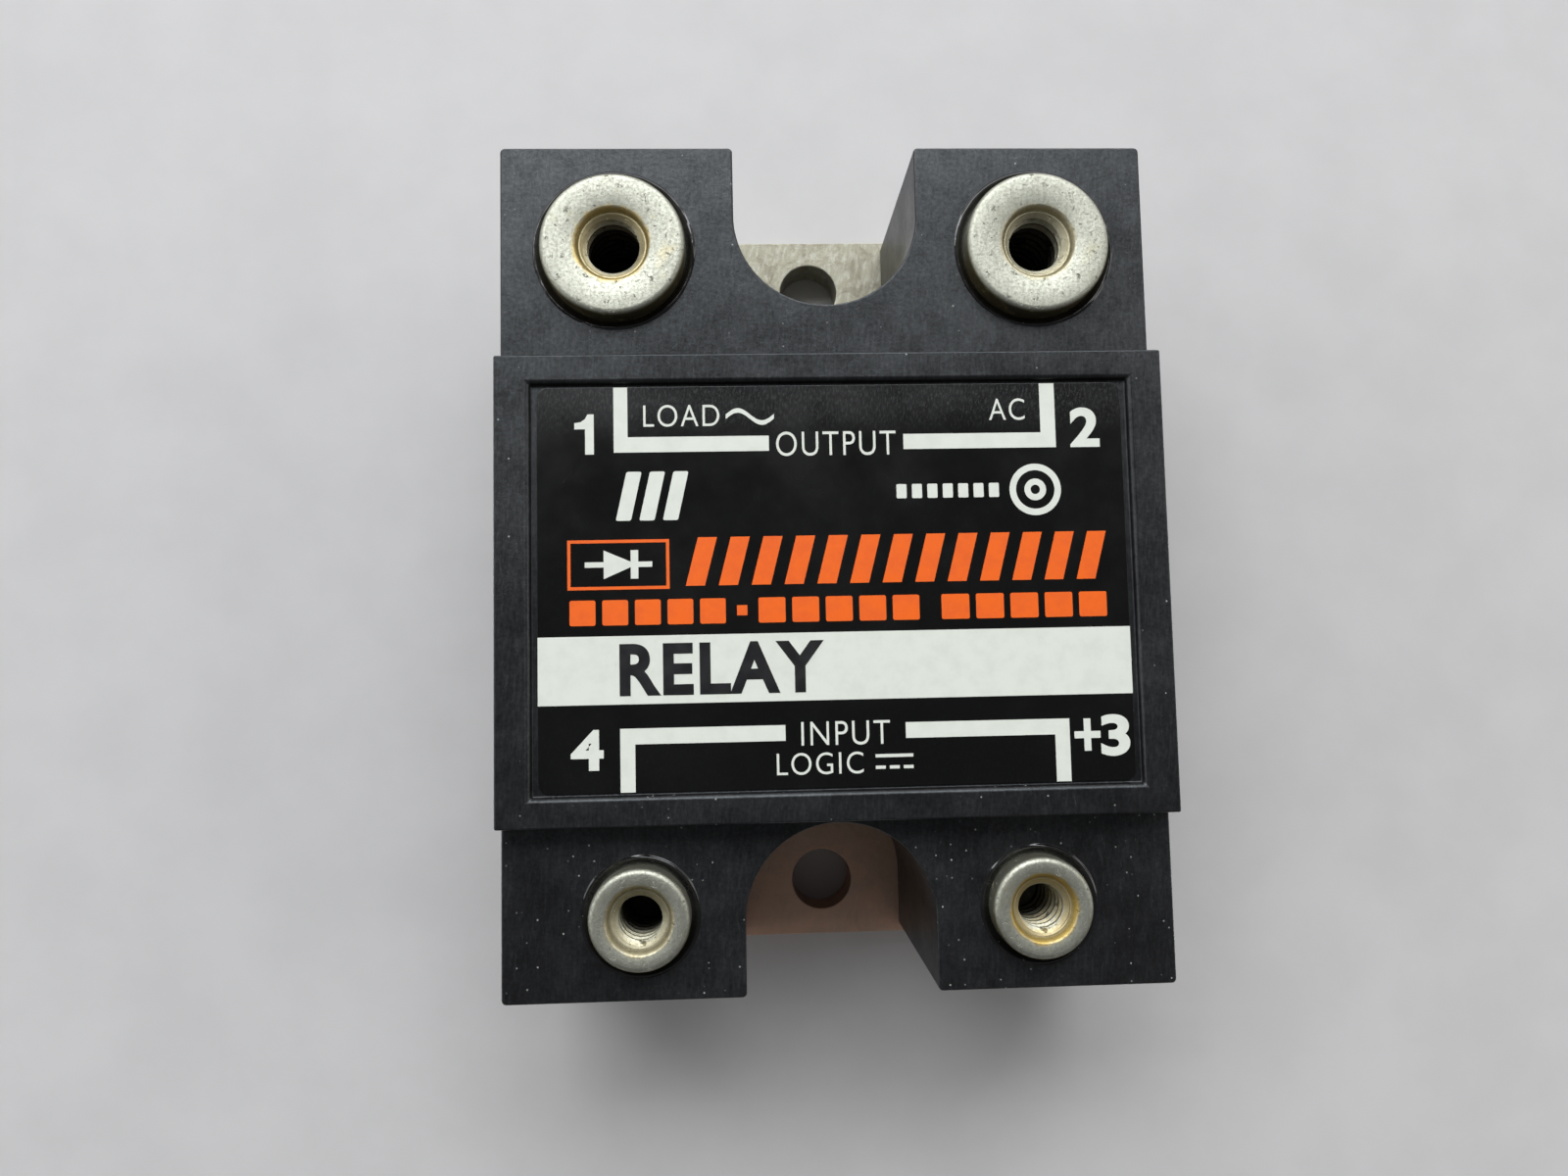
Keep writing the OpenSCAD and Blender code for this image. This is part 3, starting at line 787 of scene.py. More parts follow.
@dataclass(frozen=True)
class PostPlating(Finish):
    """Dull zinc-grey plating, mottled, with tarnish round the bore, and painted light and shade in the
    bore, in the countersink and on the top edge.
    """

    name: str
    at: Point2
    top: float
    radius: float
    bore_r: float
    gold_share: float
    # How much shade is painted in the countersink and the bore, and the depth where the bore's painted
    # shade is full.
    shade_share: float
    shade_depth: float
    colour: Colour = (0.475, 0.48, 0.41)
    dull: Colour = (0.345, 0.35, 0.29)
    gold: Colour = (0.50, 0.36, 0.10)
    # The brown of the painted shade on the countersink and the top edge.
    brown: Colour = (0.190, 0.155, 0.062)
    # The colour of the painted shade down the bore.
    bore_shade: Colour = (0.010, 0.009, 0.008)
    # The pale colour of the painted light on the bore's upper wall.
    rub_and_highlight: Colour = (0.66, 0.66, 0.56)

    def build(self) -> bpy.types.Material:
        """Make the material.

        Returns:
            The material.
        """
        g = Graph(self.name)
        here = g.place(centre=(*self.at, self.top))
        cloud = g.noise(here, 0.55, 5, 0.65)
        grain = g.noise(here, 5.0, 5, 0.72)
        brushed = g.noise(g.place(stretch=(4.5, 1.2, 3.0), turn=(0, 0, 6)), 0.9, 5, 0.7)
        pits = g.span(g.noise(here, 1.5, 6, 0.78), 0.58, 0.68)
        tone = g.mix(g.span(cloud, 0.35, 0.72), self.colour, [c * 0.90 for c in self.colour])
        tone = g.mix(g.times(g.span(brushed, 0.44, 0.60), 0.6), tone, self.dull)
        worn = g.times(g.span(grain, 0.44, 0.62), 0.55)
        tone = g.mix(worn, tone, [c * 0.8 for c in self.dull])
        tone = g.mix(g.times(pits, 0.8), tone, [c * 0.45 for c in self.dull])
        tone = g.mix(self.tarnish(g, here, cloud), tone, self.gold)
        # Painted light and shade in the bore and the countersink and on the top edge.
        tone = self.painted_light_and_shade(g, here, tone)
        rough = g.plus(g.span(grain, 0.3, 0.7, (0.44, 0.60)), g.times(pits, 0.12))
        relief = g.bump(grain, 0.020)
        relief = g.bump(g.math("SUBTRACT", 1.0, pits), 0.04, relief)
        relief = g.bump(brushed, 0.012, relief)
        return g.finish(tone, rough, relief, Metallic=1.0)

    def tarnish(self, g: Graph, here: Socket, cloud: Socket) -> Socket:
        """Return how golden the plating is: a ring round the bore and a few patches.

        Args:
            g: The material in the making.
            here: The coordinates from the middle of the post's top.
            cloud: The noise that makes the ring uneven.

        Returns:
            The share of gold, from 0 to 1.
        """
        spread = g.plus(g.radius(here), g.times(g.math("SUBTRACT", cloud, 0.5), 0.8))
        ring = g.times(
            g.span(spread, self.bore_r + 0.95, self.bore_r + 0.60),
            g.span(spread, self.bore_r - 0.05, self.bore_r + 0.20),
        )
        patch = g.span(g.noise(here, 0.42, 4, 0.6), 0.56, 0.72)
        return g.math("MAXIMUM", g.times(ring, self.gold_share), g.times(patch, self.gold_share * 0.30))

    def painted_light_and_shade(self, g: Graph, here: Socket, tone: Socket) -> Socket:
        """Return the colour with painted light on the bore's upper wall, and painted shade in brown on the
        countersink and the flank's -Y side, and down the bore.

        Args:
            g: The material in the making.
            here: The coordinates from the middle of the post's top.
            tone: The plating's colour.

        Returns:
            The colour.
        """
        out = g.radius(here)
        _, side, height = g.parts(here)
        mouth = g.span(out, self.bore_r + 0.58, self.bore_r + 0.42)
        # Painted light: the bore's upper wall and thread ledge are lightened towards a pale colour.
        tone = g.mix(g.times(mouth, 0.4), tone, self.rub_and_highlight)
        # Painted shade: the countersink below the top is darkened towards brown.
        cone = g.times(g.span(out, self.bore_r + 0.80, self.bore_r + 0.66), g.span(height, -0.04, -0.35))
        tone = g.mix(g.times(cone, self.shade_share * 0.40), tone, self.brown)
        # Painted shade: the rounded top edge is darkened towards brown, most on its -Y side, which faces
        # away from the light.
        flank = g.times(g.span(out, self.radius - 0.40, self.radius - 0.12), g.span(height, -0.03, -0.30))
        tone = g.mix(g.times(flank, g.span(side, 1.0, -2.0, (0.20, 0.85))), tone, self.brown)
        # Painted shade: the bore is darkened more the deeper it goes.
        sunk = g.times(mouth, g.span(height, -0.55 - self.shade_depth / 4, -self.shade_depth))
        return g.mix(g.times(sunk, self.shade_share), tone, self.bore_shade)


@dataclass(frozen=True)
class PlatePlating(Finish):
    """Warm satin plating on sheet metal, with a painted warm reflection inside the input notch."""

    colour: Colour = (0.29, 0.275, 0.21)
    # The colour of the painted warm reflection in the notch.
    notch_reflection: Colour = (0.80, 0.50, 0.36)
    bright: Colour = (0.39, 0.385, 0.32)
    dark: Colour = (0.14, 0.115, 0.08)

    def build(self) -> bpy.types.Material:
        """Make the material.

        Returns:
            The material.
        """
        g = Graph("plate_plating")
        mm = g.place()
        cloud = g.noise(mm, 0.30, 5, 0.66)
        blotch = g.noise(mm, 0.42, 7, 0.74, 1.2)
        grain = g.noise(mm, 4.5, 5, 0.72)
        mill = g.noise(g.place(stretch=(3.0, 0.9, 1.0), turn=(0, 0, 12)), 0.9, 5, 0.68)
        across, along, _ = g.parts(mm)
        # Painted reflection: a warm tint, made bright against the notch's shade, kept to the input notch.
        within_notch = g.span(g.math("ABSOLUTE", across), 10.0, 6.2, (0.10, 1.0))
        in_notch = g.times(g.span(along, -12.0, -22.0), within_notch)
        tone = g.mix(g.span(mill, 0.42, 0.68), self.colour, self.bright)
        tone = g.mix(g.times(g.span(blotch, 0.46, 0.62), 0.5), tone, self.dark)
        reflection_share = g.times(in_notch, g.span(cloud, 0.25, 0.7, (0.55, 0.95)))
        tone = g.mix(reflection_share, tone, self.notch_reflection)
        rough = g.span(cloud, 0.3, 0.7, (0.40, 0.52))
        rough = g.plus(rough, g.span(grain, 0.4, 0.7, (-0.04, 0.08)))
        relief = g.bump(grain, 0.014)
        relief = g.bump(blotch, 0.020, relief)
        return g.finish(tone, rough, relief, Metallic=0.62)


@dataclass(frozen=True)
class PottingEpoxy(Finish):
    """Glossy black epoxy with slow ripples and a few trapped specks."""

    colour: Colour = (0.0035, 0.0035, 0.004)
    speck: Colour = (0.20, 0.20, 0.19)

    def build(self) -> bpy.types.Material:
        """Make the material.

        Returns:
            The material.
        """
        g = Graph("potting_epoxy")
        mm = g.place()
        ripple = g.noise(mm, 0.9, 3, 0.5)
        speck = g.span(g.cells(mm, 1.1)[0], 0.05, 0.03)
        tone = g.mix(g.span(ripple, 0.3, 0.7), self.colour, [c * 2.2 for c in self.colour])
        tone = g.mix(g.times(speck, 0.5), tone, self.speck)
        patchy = g.noise(mm, 0.4, 4, 0.65)
        rough = g.span(patchy, 0.42, 0.60, (0.09, 0.26))
        return g.finish(tone, rough, g.bump(ripple, 0.05), Coat_Weight=0.15)


@dataclass(frozen=True)
class BareMetal(Finish):
    """A plain metal of the power stage: copper, tinned wire or solder."""

    name: str
    colour: Colour
    tarnish: Colour
    rough: float
    depth: float = 0.006

    def build(self) -> bpy.types.Material:
        """Make the material.

        Returns:
            The material.
        """
        g = Graph(self.name)
        mm = g.place()
        cloud = g.noise(mm, 0.6, 5, 0.6)
        grain = g.noise(g.place(stretch=(1.0, 6.0, 1.0)), 2.0, 4, 0.6)
        tone = g.mix(g.span(cloud, 0.4, 0.75), self.colour, self.tarnish)
        rough = g.span(grain, 0.3, 0.7, (self.rough, self.rough + 0.14))
        return g.finish(tone, rough, g.bump(grain, self.depth), Metallic=1.0)


@dataclass(frozen=True)
class Coating(Finish):
    """A lacquered, glazed or moulded non-metal surface of a small component."""

    name: str
    colour: Colour
    shade: Colour
    rough: float
    depth: float = 0.008
    fineness: float = 3.0

    def build(self) -> bpy.types.Material:
        """Make the material.

        Returns:
            The material.
        """
        g = Graph(self.name)
        mm = g.place()
        cloud = g.noise(mm, 0.45, 4, 0.6)
        grain = g.noise(mm, self.fineness, 4, 0.6)
        tone = g.mix(g.span(cloud, 0.3, 0.72), self.colour, self.shade)
        rough = g.span(grain, 0.3, 0.7, (self.rough, self.rough + 0.12))
        return g.finish(tone, rough, g.bump(grain, self.depth))


@dataclass(frozen=True)
class BoardLacquer(Finish):
    """Green lacquer over the weave of a glass-fibre board."""

    colour: Colour = (0.022, 0.105, 0.040)
    shade: Colour = (0.045, 0.150, 0.055)
    yellowed: Colour = (0.08, 0.17, 0.05)
    weave: float = 9.0

    def build(self) -> bpy.types.Material:
        """Make the material.

        Returns:
            The material.
        """
        g = Graph("board_lacquer")
        mm = g.place()
        x, y, _ = g.parts(mm)
        warp = g.math("SINE", g.times(x, self.weave))
        weft = g.math("SINE", g.times(y, self.weave))
        weave = g.times(warp, weft)
        cloud = g.noise(mm, 0.3, 4, 0.6)
        tone = g.mix(g.span(weave, -0.6, 0.6), self.colour, self.shade)
        tone = g.mix(g.span(cloud, 0.45, 0.8, (0, 0.35)), tone, self.yellowed)
        return g.finish(tone, g.span(cloud, 0.3, 0.7, (0.24, 0.36)), g.bump(weave, 0.008))


@dataclass(frozen=True)
class PaleFloor(Finish):
    """A plain pale tabletop with the faintest mottle."""

    colour: Colour = (0.535, 0.525, 0.525)

    def build(self) -> bpy.types.Material:
        """Make the material.

        Returns:
            The material.
        """
        g = Graph("pale_floor")
        cloud = g.noise(g.place(), 0.10, 4, 0.6)
        tone = g.mix(g.span(cloud, 0.3, 0.7), self.colour, [c * 0.94 for c in self.colour])
        return g.finish(tone, 0.65)


class Inks(Enum):
    """The label's print colours."""

    WHITE = PrintInk("white_ink", (0.665, 0.69, 0.625), (0.61, 0.635, 0.57))
    ORANGE = PrintInk("orange_ink", (0.80, 0.120, 0.002), (0.72, 0.098, 0.002))
    BLACK = PrintInk("black_ink", (0.006, 0.006, 0.007), (0.010, 0.010, 0.011), 0.35)


COPPER = BareMetal("rolled_copper", (0.80, 0.38, 0.20), (0.42, 0.17, 0.09), 0.28)
TINNED = BareMetal("tinned_wire", (0.70, 0.69, 0.66), (0.52, 0.51, 0.48), 0.24)
SOLDER = BareMetal("bright_solder", (0.68, 0.69, 0.70), (0.50, 0.51, 0.52), 0.18)
SILICON = BareMetal("polished_silicon", (0.30, 0.31, 0.36), (0.20, 0.21, 0.26), 0.14, 0.001)
ALUMINA = Coating("fired_alumina", (0.80, 0.79, 0.74), (0.74, 0.72, 0.66), 0.55, 0.006, 6.0)
BLACK_PACKAGE = Coating("black_package", (0.018, 0.018, 0.018), (0.03, 0.03, 0.03), 0.50)
WHITE_PACKAGE = Coating("white_package", (0.74, 0.72, 0.64), (0.66, 0.63, 0.54), 0.45)
RED_DIP = Coating("red_dip", (0.36, 0.030, 0.015), (0.28, 0.022, 0.012), 0.16, 0.020, 0.8)
OCHRE_DIP = Coating("ochre_dip", (0.50, 0.22, 0.045), (0.40, 0.16, 0.030), 0.25, 0.020, 0.9)
TAN_LACQUER = Coating("tan_lacquer", (0.56, 0.38, 0.20), (0.48, 0.31, 0.15), 0.22, 0.010, 1.2)
BROWN_LACQUER = Coating("brown_lacquer", (0.20, 0.095, 0.045), (0.15, 0.07, 0.03), 0.26, 0.010, 1.2)
AMBER_GLASS = Coating("amber_glass", (0.50, 0.17, 0.045), (0.38, 0.11, 0.03), 0.08, 0.004, 0.8)
SILVER_BAND = Coating("silver_band", (0.62, 0.62, 0.60), (0.50, 0.50, 0.48), 0.30)
DARK_BAND = Coating("dark_band", (0.015, 0.013, 0.012), (0.03, 0.026, 0.024), 0.25)
WARM_BANDS = (
    Coating("band_ochre", (0.48, 0.30, 0.03), (0.40, 0.24, 0.02), 0.25),
    Coating("band_violet", (0.13, 0.04, 0.20), (0.10, 0.03, 0.16), 0.25),
    Coating("band_rust", (0.45, 0.10, 0.02), (0.36, 0.08, 0.02), 0.25),
)


# Delivery --------------------------------------------------------------------------------------

def deliver(
    solid: Solid, name: str, finish: Finish, replaces: Sequence[str] = (), smooth: float = 32
) -> None:
    """Bring a finished solid to metres, dress it and fix it to the CAD body.

    Args:
        solid: The piece, in millimetres.
        name: The piece's name.
        finish: Its main finish, put in its first material slot.
        replaces: The CAD nodes that it stands for.
        smooth: The angle in degrees under which faces shade smoothly.
    """
    obj = solid.obj
    pick_alone(obj)
    obj.scale = (MM, MM, MM)
    bpy.ops.object.transform_apply(location=True, rotation=True, scale=True)
    obj.name = name
    obj.data.name = name
    if not obj.data.materials:
        obj.data.materials.append(finish.material())
    bpy.ops.object.shade_smooth_by_angle(angle=math.radians(smooth))
    weigh = obj.modifiers.new("weigh", "WEIGHTED_NORMAL")
    weigh.keep_sharp = True
    bpy.ops.object.modifier_apply(modifier=weigh.name)
    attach(obj, ROOT)
    if replaces:
        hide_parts(*replaces)
    LOG.info("piece %s: %d faces", name, len(obj.data.polygons))


def paint(solid: Solid, finishes: Sequence[Finish], choose: Callable[[Vector], int]) -> None:
    """Give a solid several materials, one picked for each face by its middle.

    Args:
        solid: The solid to paint.
        finishes: The finishes, in the order of their material slots.
        choose: Which slot a face takes, from the face's middle in millimetres.
    """
    mesh = solid.obj.data
    mesh.materials.clear()
    for finish in finishes:
        mesh.materials.append(finish.material())
    for face in mesh.polygons:
        face.material_index = choose(face.center)


def dress(node: str, finish: Finish) -> None:
    """Give a CAD node that stays in view a finish.

    Args:
        node: The node's name.
        finish: The finish.
    """
    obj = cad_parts[node]
    obj.data.materials.clear()
    obj.data.materials.append(finish.material())
    LOG.info("node %s: %s", node, obj.data.materials[0].name)


# Base plate ------------------------------------------------------------------------------------

@dataclass
class BasePlate:
    """The metal plate that the relay is bolted down by."""

    hole_r: float = 2.3
    hole_pitch: float = 47.5
    corner_r: float = 0.6
    edge: float = 0.14

    def build(self) -> None:
        """Model the plate with its two holes and broken edges."""
        box = Box.of("base_plate")
        below, above = box.low.z - 1, box.high.z + 1
        plate = Solid.box(box.low, box.high)
        plate.rounded(lambda a, b: abs(a.z - b.z) > 1, self.corner_r, 5)
        for side in (-1, 1):
            at = (box.middle.x, box.middle.y + side * self.hole_pitch / 2)
            plate.cut(Solid.rod(at, self.hole_r, below, above, 72))
        plate.softened(self.edge, 2)
        deliver(plate, "base_plate_plated", PlatePlating(), ["base_plate"])


# Housing ---------------------------------------------------------------------------------------

@dataclass
class Housing:
    """The moulded shell: two terminal decks, a raised block, two U notches and four post wells."""

    deck_z: float = 20.3
    frame_low_y: float = -16.48
    frame_high_y: float = 13.02
    window_z: float = 21.85
    window_border: Point2 = (2.25, 1.85)
    wall: float = 1.6
    roof: float = 1.6
    notch_r: float = 6.05
    notch_y: float = 22.9
    corner_r: float = 0.3
    notch_corner_r: float = 0.28
    edge: float = 0.14
    window_edge: float = 0.32
    rim_depth: float = 2.4
    rim_lap: float = 0.4
    rim_step: float = 0.012
    pocket_inset: float = 0.01

    def notch(self, side: int, grow: float, low: float, high: float, reach: float) -> Solid:
        """Return the cutter of one U notch.

        Args:
            side: 1 at the output end, -1 at the input end.
            grow: How much wider than the notch it is on each side.
            low: The height of its foot.
            high: The height of its top.
            reach: How far out along Y it runs.

        Returns:
            The cutter.
        """
        r = self.notch_r + grow
        centre = (0.0, side * self.notch_y)
        curve = arc(centre, r, 180, 180 + side * 180, 48)
        outline = [*curve, (curve[-1][0], side * reach), (curve[0][0], side * reach)]
        return Solid.prism(outline, low, high)

    def side_profile(self, box: Box) -> Solid:
        """Return the block before its cuts, which is its outline from the side drawn out across it.

        Args:
            box: The housing's box.

        Returns:
            The block.
        """
        deck, top = self.deck_z, box.high.z
        outline = [
            (box.low.y, box.low.z), (box.high.y, box.low.z), (box.high.y, deck), (self.frame_high_y, deck),
            (self.frame_high_y, top), (self.frame_low_y, top), (self.frame_low_y, deck), (box.low.y, deck),
        ]
        block = Solid.trace([(box.low.x, y, z) for y, z in outline], closed=True)
        bpy.ops.mesh.extrude_region_move(TRANSFORM_OT_translate={"value": (box.size.x, 0, 0)})
        return block.cleaned()

    def cavity(self, box: Box) -> Solid:
        """Return the cutter of the hollow under the decks.

        Args:
            box: The housing's box.

        Returns:
            The cutter.
        """
        w, top = self.wall, self.deck_z - self.roof
        low = (box.low.x + w, box.low.y + w, box.low.z - 1)
        hollow = Solid.box(low, (box.high.x - w, box.high.y - w, top))
        for side in (-1, 1):
            hollow.cut(self.notch(side, w, box.low.z - 2, top + 1, box.high.y + 1))
        inset = w + self.pocket_inset
        pocket = Solid.box(
            (box.low.x + inset, self.frame_low_y + w, top - 1),
            (box.high.x - inset, self.frame_high_y - w, self.window_z - self.roof),
        )
        return hollow.fuse(pocket)

    def cut_window(self, shell: Solid, box: Box) -> None:
        """Sink the label's window into the raised block and round its rim.

        Args:
            shell: The shell.
            box: The housing's box.
        """
        border_x, border_y = self.window_border
        half, top = box.high.x - border_x, box.high.z
        low_y, high_y = self.frame_low_y + border_y, self.frame_high_y - border_y
        shell.cut(Solid.box((-half, low_y, self.window_z), (half, high_y, top + 1)))

        def on_rim(end: Vector) -> bool:
            """Return whether an edge's end lies on the window's rim."""
            inside = self.frame_low_y + 1 < end.y < self.frame_high_y - 1
            return end.z > top - NEAR and abs(end.x) < half + NEAR and inside

        shell.rounded(lambda a, b: on_rim(a) and on_rim(b), self.window_edge, 4)

    def build(self, wells: Sequence[tuple[Point2, float]]) -> None:
        """Model the shell.

        Args:
            wells: The place in plan and the radius of each post's hole.
        """
        box = Box.of("housing")
        shell = self.side_profile(box)
        for side in (-1, 1):
            shell.cut(self.notch(side, 0, box.low.z - 1, box.high.z + 1, box.high.y + 1))
        end, half_width = box.high.y, box.high.x / 2

        def upright_at_end(a: Vector, b: Vector) -> bool:
            """Return whether an edge stands upright in one of the two end faces."""
            return abs(a.z - b.z) > 3 and abs(abs(a.y) - end) < NEAR

        shell.rounded(lambda a, b: upright_at_end(a, b) and abs(a.x) > half_width, self.corner_r, 4)
        shell.rounded(lambda a, b: upright_at_end(a, b) and abs(a.x) < half_width, self.notch_corner_r, 4)
        self.cut_window(shell, box)
        rim_foot = self.deck_z - self.rim_depth
        for at, radius in wells:
            shell.cut(Solid.rod(at, radius, rim_foot, self.deck_z + 1, 96))
        shell.softened(self.edge, 3)
        shell.cut(self.cavity(box))
        for at, radius in wells:
            shell.cut(Solid.rod(at, radius + self.rim_step, box.low.z - 1, rim_foot + self.rim_lap, 96))
        deliver(shell.cleaned(), "housing_shell", MouldedShell(), ["housing"])


# Terminals -------------------------------------------------------------------------------------

@dataclass
class TerminalPost:
    """A round post with a threaded bore, riveted to the control board."""

    node: str
    bore_r: float
    root_r: float
    depth: float
    grip: float
    shank_r: float
    gold_share: float
    # How much shade is painted in the post's countersink and bore, and the depth where it is full.
    shade_share: float
    shade_depth: float
    pitch: float = 0.794
    countersink: float = 0.72
    edge: float = 0.38
    chamfer: float = 0.15
    rivet_t: float = 0.6
    rivet_lip: float = 0.9
    rivet_edge: float = 0.1
    well_gap: float = 0.42
    seal_drop: float = 0.35
    creep: float = 0.24

    @property
    def box(self) -> Box:
        """Return the CAD post's box."""
        return Box.of(self.node)

    @property
    def at(self) -> Point2:
        """Return the post's axis in plan."""
        return self.box.plan

    @property
    def radius(self) -> float:
        """Return the post's radius."""
        return self.box.size.x / 2

    @property
    def well_r(self) -> float:
        """Return the radius of the hole in the deck."""
        return self.radius + self.well_gap

    def tap(self, low: float, high: float) -> Solid:
        """Return a screw-shaped cutter for the thread.

        Args:
            low: The height where the thread starts.
            high: The height where it ends.

        Returns:
            The cutter, closed by a flat at each end.
        """
        p = self.pitch
        crest, flank = 0.24 * p, 0.26 * p
        turns = math.ceil((high - low) / p) + 2
        start = low - p
        heights = [0, crest, crest + flank, p - flank, p]
        radii = [self.bore_r, self.bore_r, self.root_r, self.root_r, self.bore_r]
        x, y = self.at
        screw = Solid.trace([(r, 0, start + h) for r, h in zip(radii, heights)], closed=False)
        bpy.ops.object.mode_set(mode="OBJECT")
        pick_alone(screw.obj)
        sweep = screw.obj.modifiers.new("sweep", "SCREW")
        sweep.axis = "Z"
        sweep.angle = 2 * math.pi
        sweep.screw_offset = p
        sweep.iterations = turns
        sweep.steps = sweep.render_steps = 40
        sweep.use_merge_vertices = True
        sweep.merge_threshold = 0.0005
        bpy.ops.object.modifier_apply(modifier=sweep.name)
        bpy.ops.object.mode_set(mode="EDIT")
        for height, outer in ((low, False), (high, True)):
            bpy.ops.mesh.select_all(action="SELECT")
            bpy.ops.mesh.bisect(
                plane_co=(0, 0, height), plane_no=(0, 0, 1), use_fill=True,
                clear_inner=not outer, clear_outer=outer,
            )
        return screw.cleaned().moved((x, y, 0))

    def body(self) -> Solid:
        """Return the post's turned body, with the rivet under it and no bore.

        Returns:
            The body.
        """
        box, radius = self.box, self.radius
        foot, top = box.low.z, box.high.z
        head = foot + self.rivet_t
        base = head + self.grip
        lip = self.shank_r + self.rivet_lip
        c, e = self.chamfer, self.rivet_edge
        profile = [
            (0, foot), (lip - c, foot), (lip, foot + c), (lip, head - e), (lip - e, head),
            (self.shank_r, head), (self.shank_r, base), (radius - c, base), (radius, base + c),
            *arc((radius - self.edge, top - self.edge), self.edge, 0, 90, 8), (0, top),
        ]
        return Solid.lathe(profile, self.at, 96)

    def bore(self) -> Solid:
        """Return the cutter of the drilled hole, its countersink and the narrow ledge in it.

        Returns:
            The cutter.
        """
        top = self.box.high.z
        floor, sink = top - self.depth, top - self.countersink
        drill, root, mouth = self.bore_r - 0.01, self.root_r, self.bore_r + self.countersink
        tip = floor - self.bore_r * math.tan(math.radians(30))
        lead = [(drill, sink - 0.10), (root + 0.02, sink + 0.26)]
        ledge = [(root + 0.10, sink + 0.27), (root + 0.15, sink + 0.36)]
        lip = [(mouth - 0.08, top - 0.10), (mouth, top - 0.03), (mouth + 0.12, top + 0.02)]
        profile = [
            (0, tip), (drill, floor), *lead, *ledge, *lip, (mouth + 0.12, top + 1), (0, top + 1)
        ]
        return Solid.lathe(profile, self.at, 96)

    def build(self) -> None:
        """Model the post and the ring of potting round it."""
        top = self.box.high.z
        post = self.body()
        post.cut(self.tap(top - self.depth + 0.4, top - 0.15), self.bore())
        finish = PostPlating(
            f"plating_{self.node}", self.at, top, self.radius, self.bore_r,
            self.gold_share, self.shade_share, self.shade_depth,
        )
        deliver(post.cleaned(), f"{self.node}_threaded", finish, [self.node], smooth=28)
        self.build_seal()

    def build_seal(self) -> None:
        """Model the potting's surface, which swells over the rim of the post's hole in an uneven bead."""
        floor = Housing.deck_z - self.seal_drop
        inner, outer = self.radius, self.well_r
        breadth = outer + self.creep - inner
        middle_x, middle_y = self.at
        steps = 14
        curve = []
        for i in range(steps + 1):
            t = i / steps
            climb = min(t / 0.7, 1.0)
            rise = 0.08 + (self.seal_drop - 0.09) * climb * climb * (3 - 2 * climb)
            curve.append((inner + breadth * t, floor + rise))
        loop = [(inner, floor), *curve, (outer - 0.02, floor)]
        ring = Solid.lathe(loop, (middle_x, middle_y), 144, ring=True)
        for vertex in ring.obj.data.vertices:
            if vertex.co.z < floor + 0.02:
                continue
            x, y = vertex.co.x - middle_x, vertex.co.y - middle_y
            t = min(max((math.hypot(x, y) - inner) / breadth, 0.0), 1.0)
            slow = noise.noise(Vector((x * 0.35, y * 0.35, inner)))
            quick = noise.noise(Vector((x * 1.3, y * 1.3, outer)))
            swell = 0.10 + 0.16 * slow + 0.05 * quick
            vertex.co.z += swell * math.sin(math.pi * t ** 2) ** 2
        name = f"{self.node}_potting_surface"
        deliver(ring.cleaned(), name, PottingEpoxy(), smooth=60)


# Label -----------------------------------------------------------------------------------------

@dataclass(frozen=True)
class Rect:
    """A rectangle of print on the label, in millimetres."""

    x0: float
    x1: float
    y0: float
    y1: float

    def split(self, count: int, gap: float) -> list["Rect"]:
        """Return a row of equal rectangles that fill this one, with gaps between them.

        Args:
            count: How many there are.
            gap: How wide each gap is.

        Returns:
            The rectangles, from left to right.
        """
        wide = (self.x1 - self.x0 + gap) / count - gap
        starts = [self.x0 + i * (wide + gap) for i in range(count)]
        return [Rect(x, x + wide, self.y0, self.y1) for x in starts]


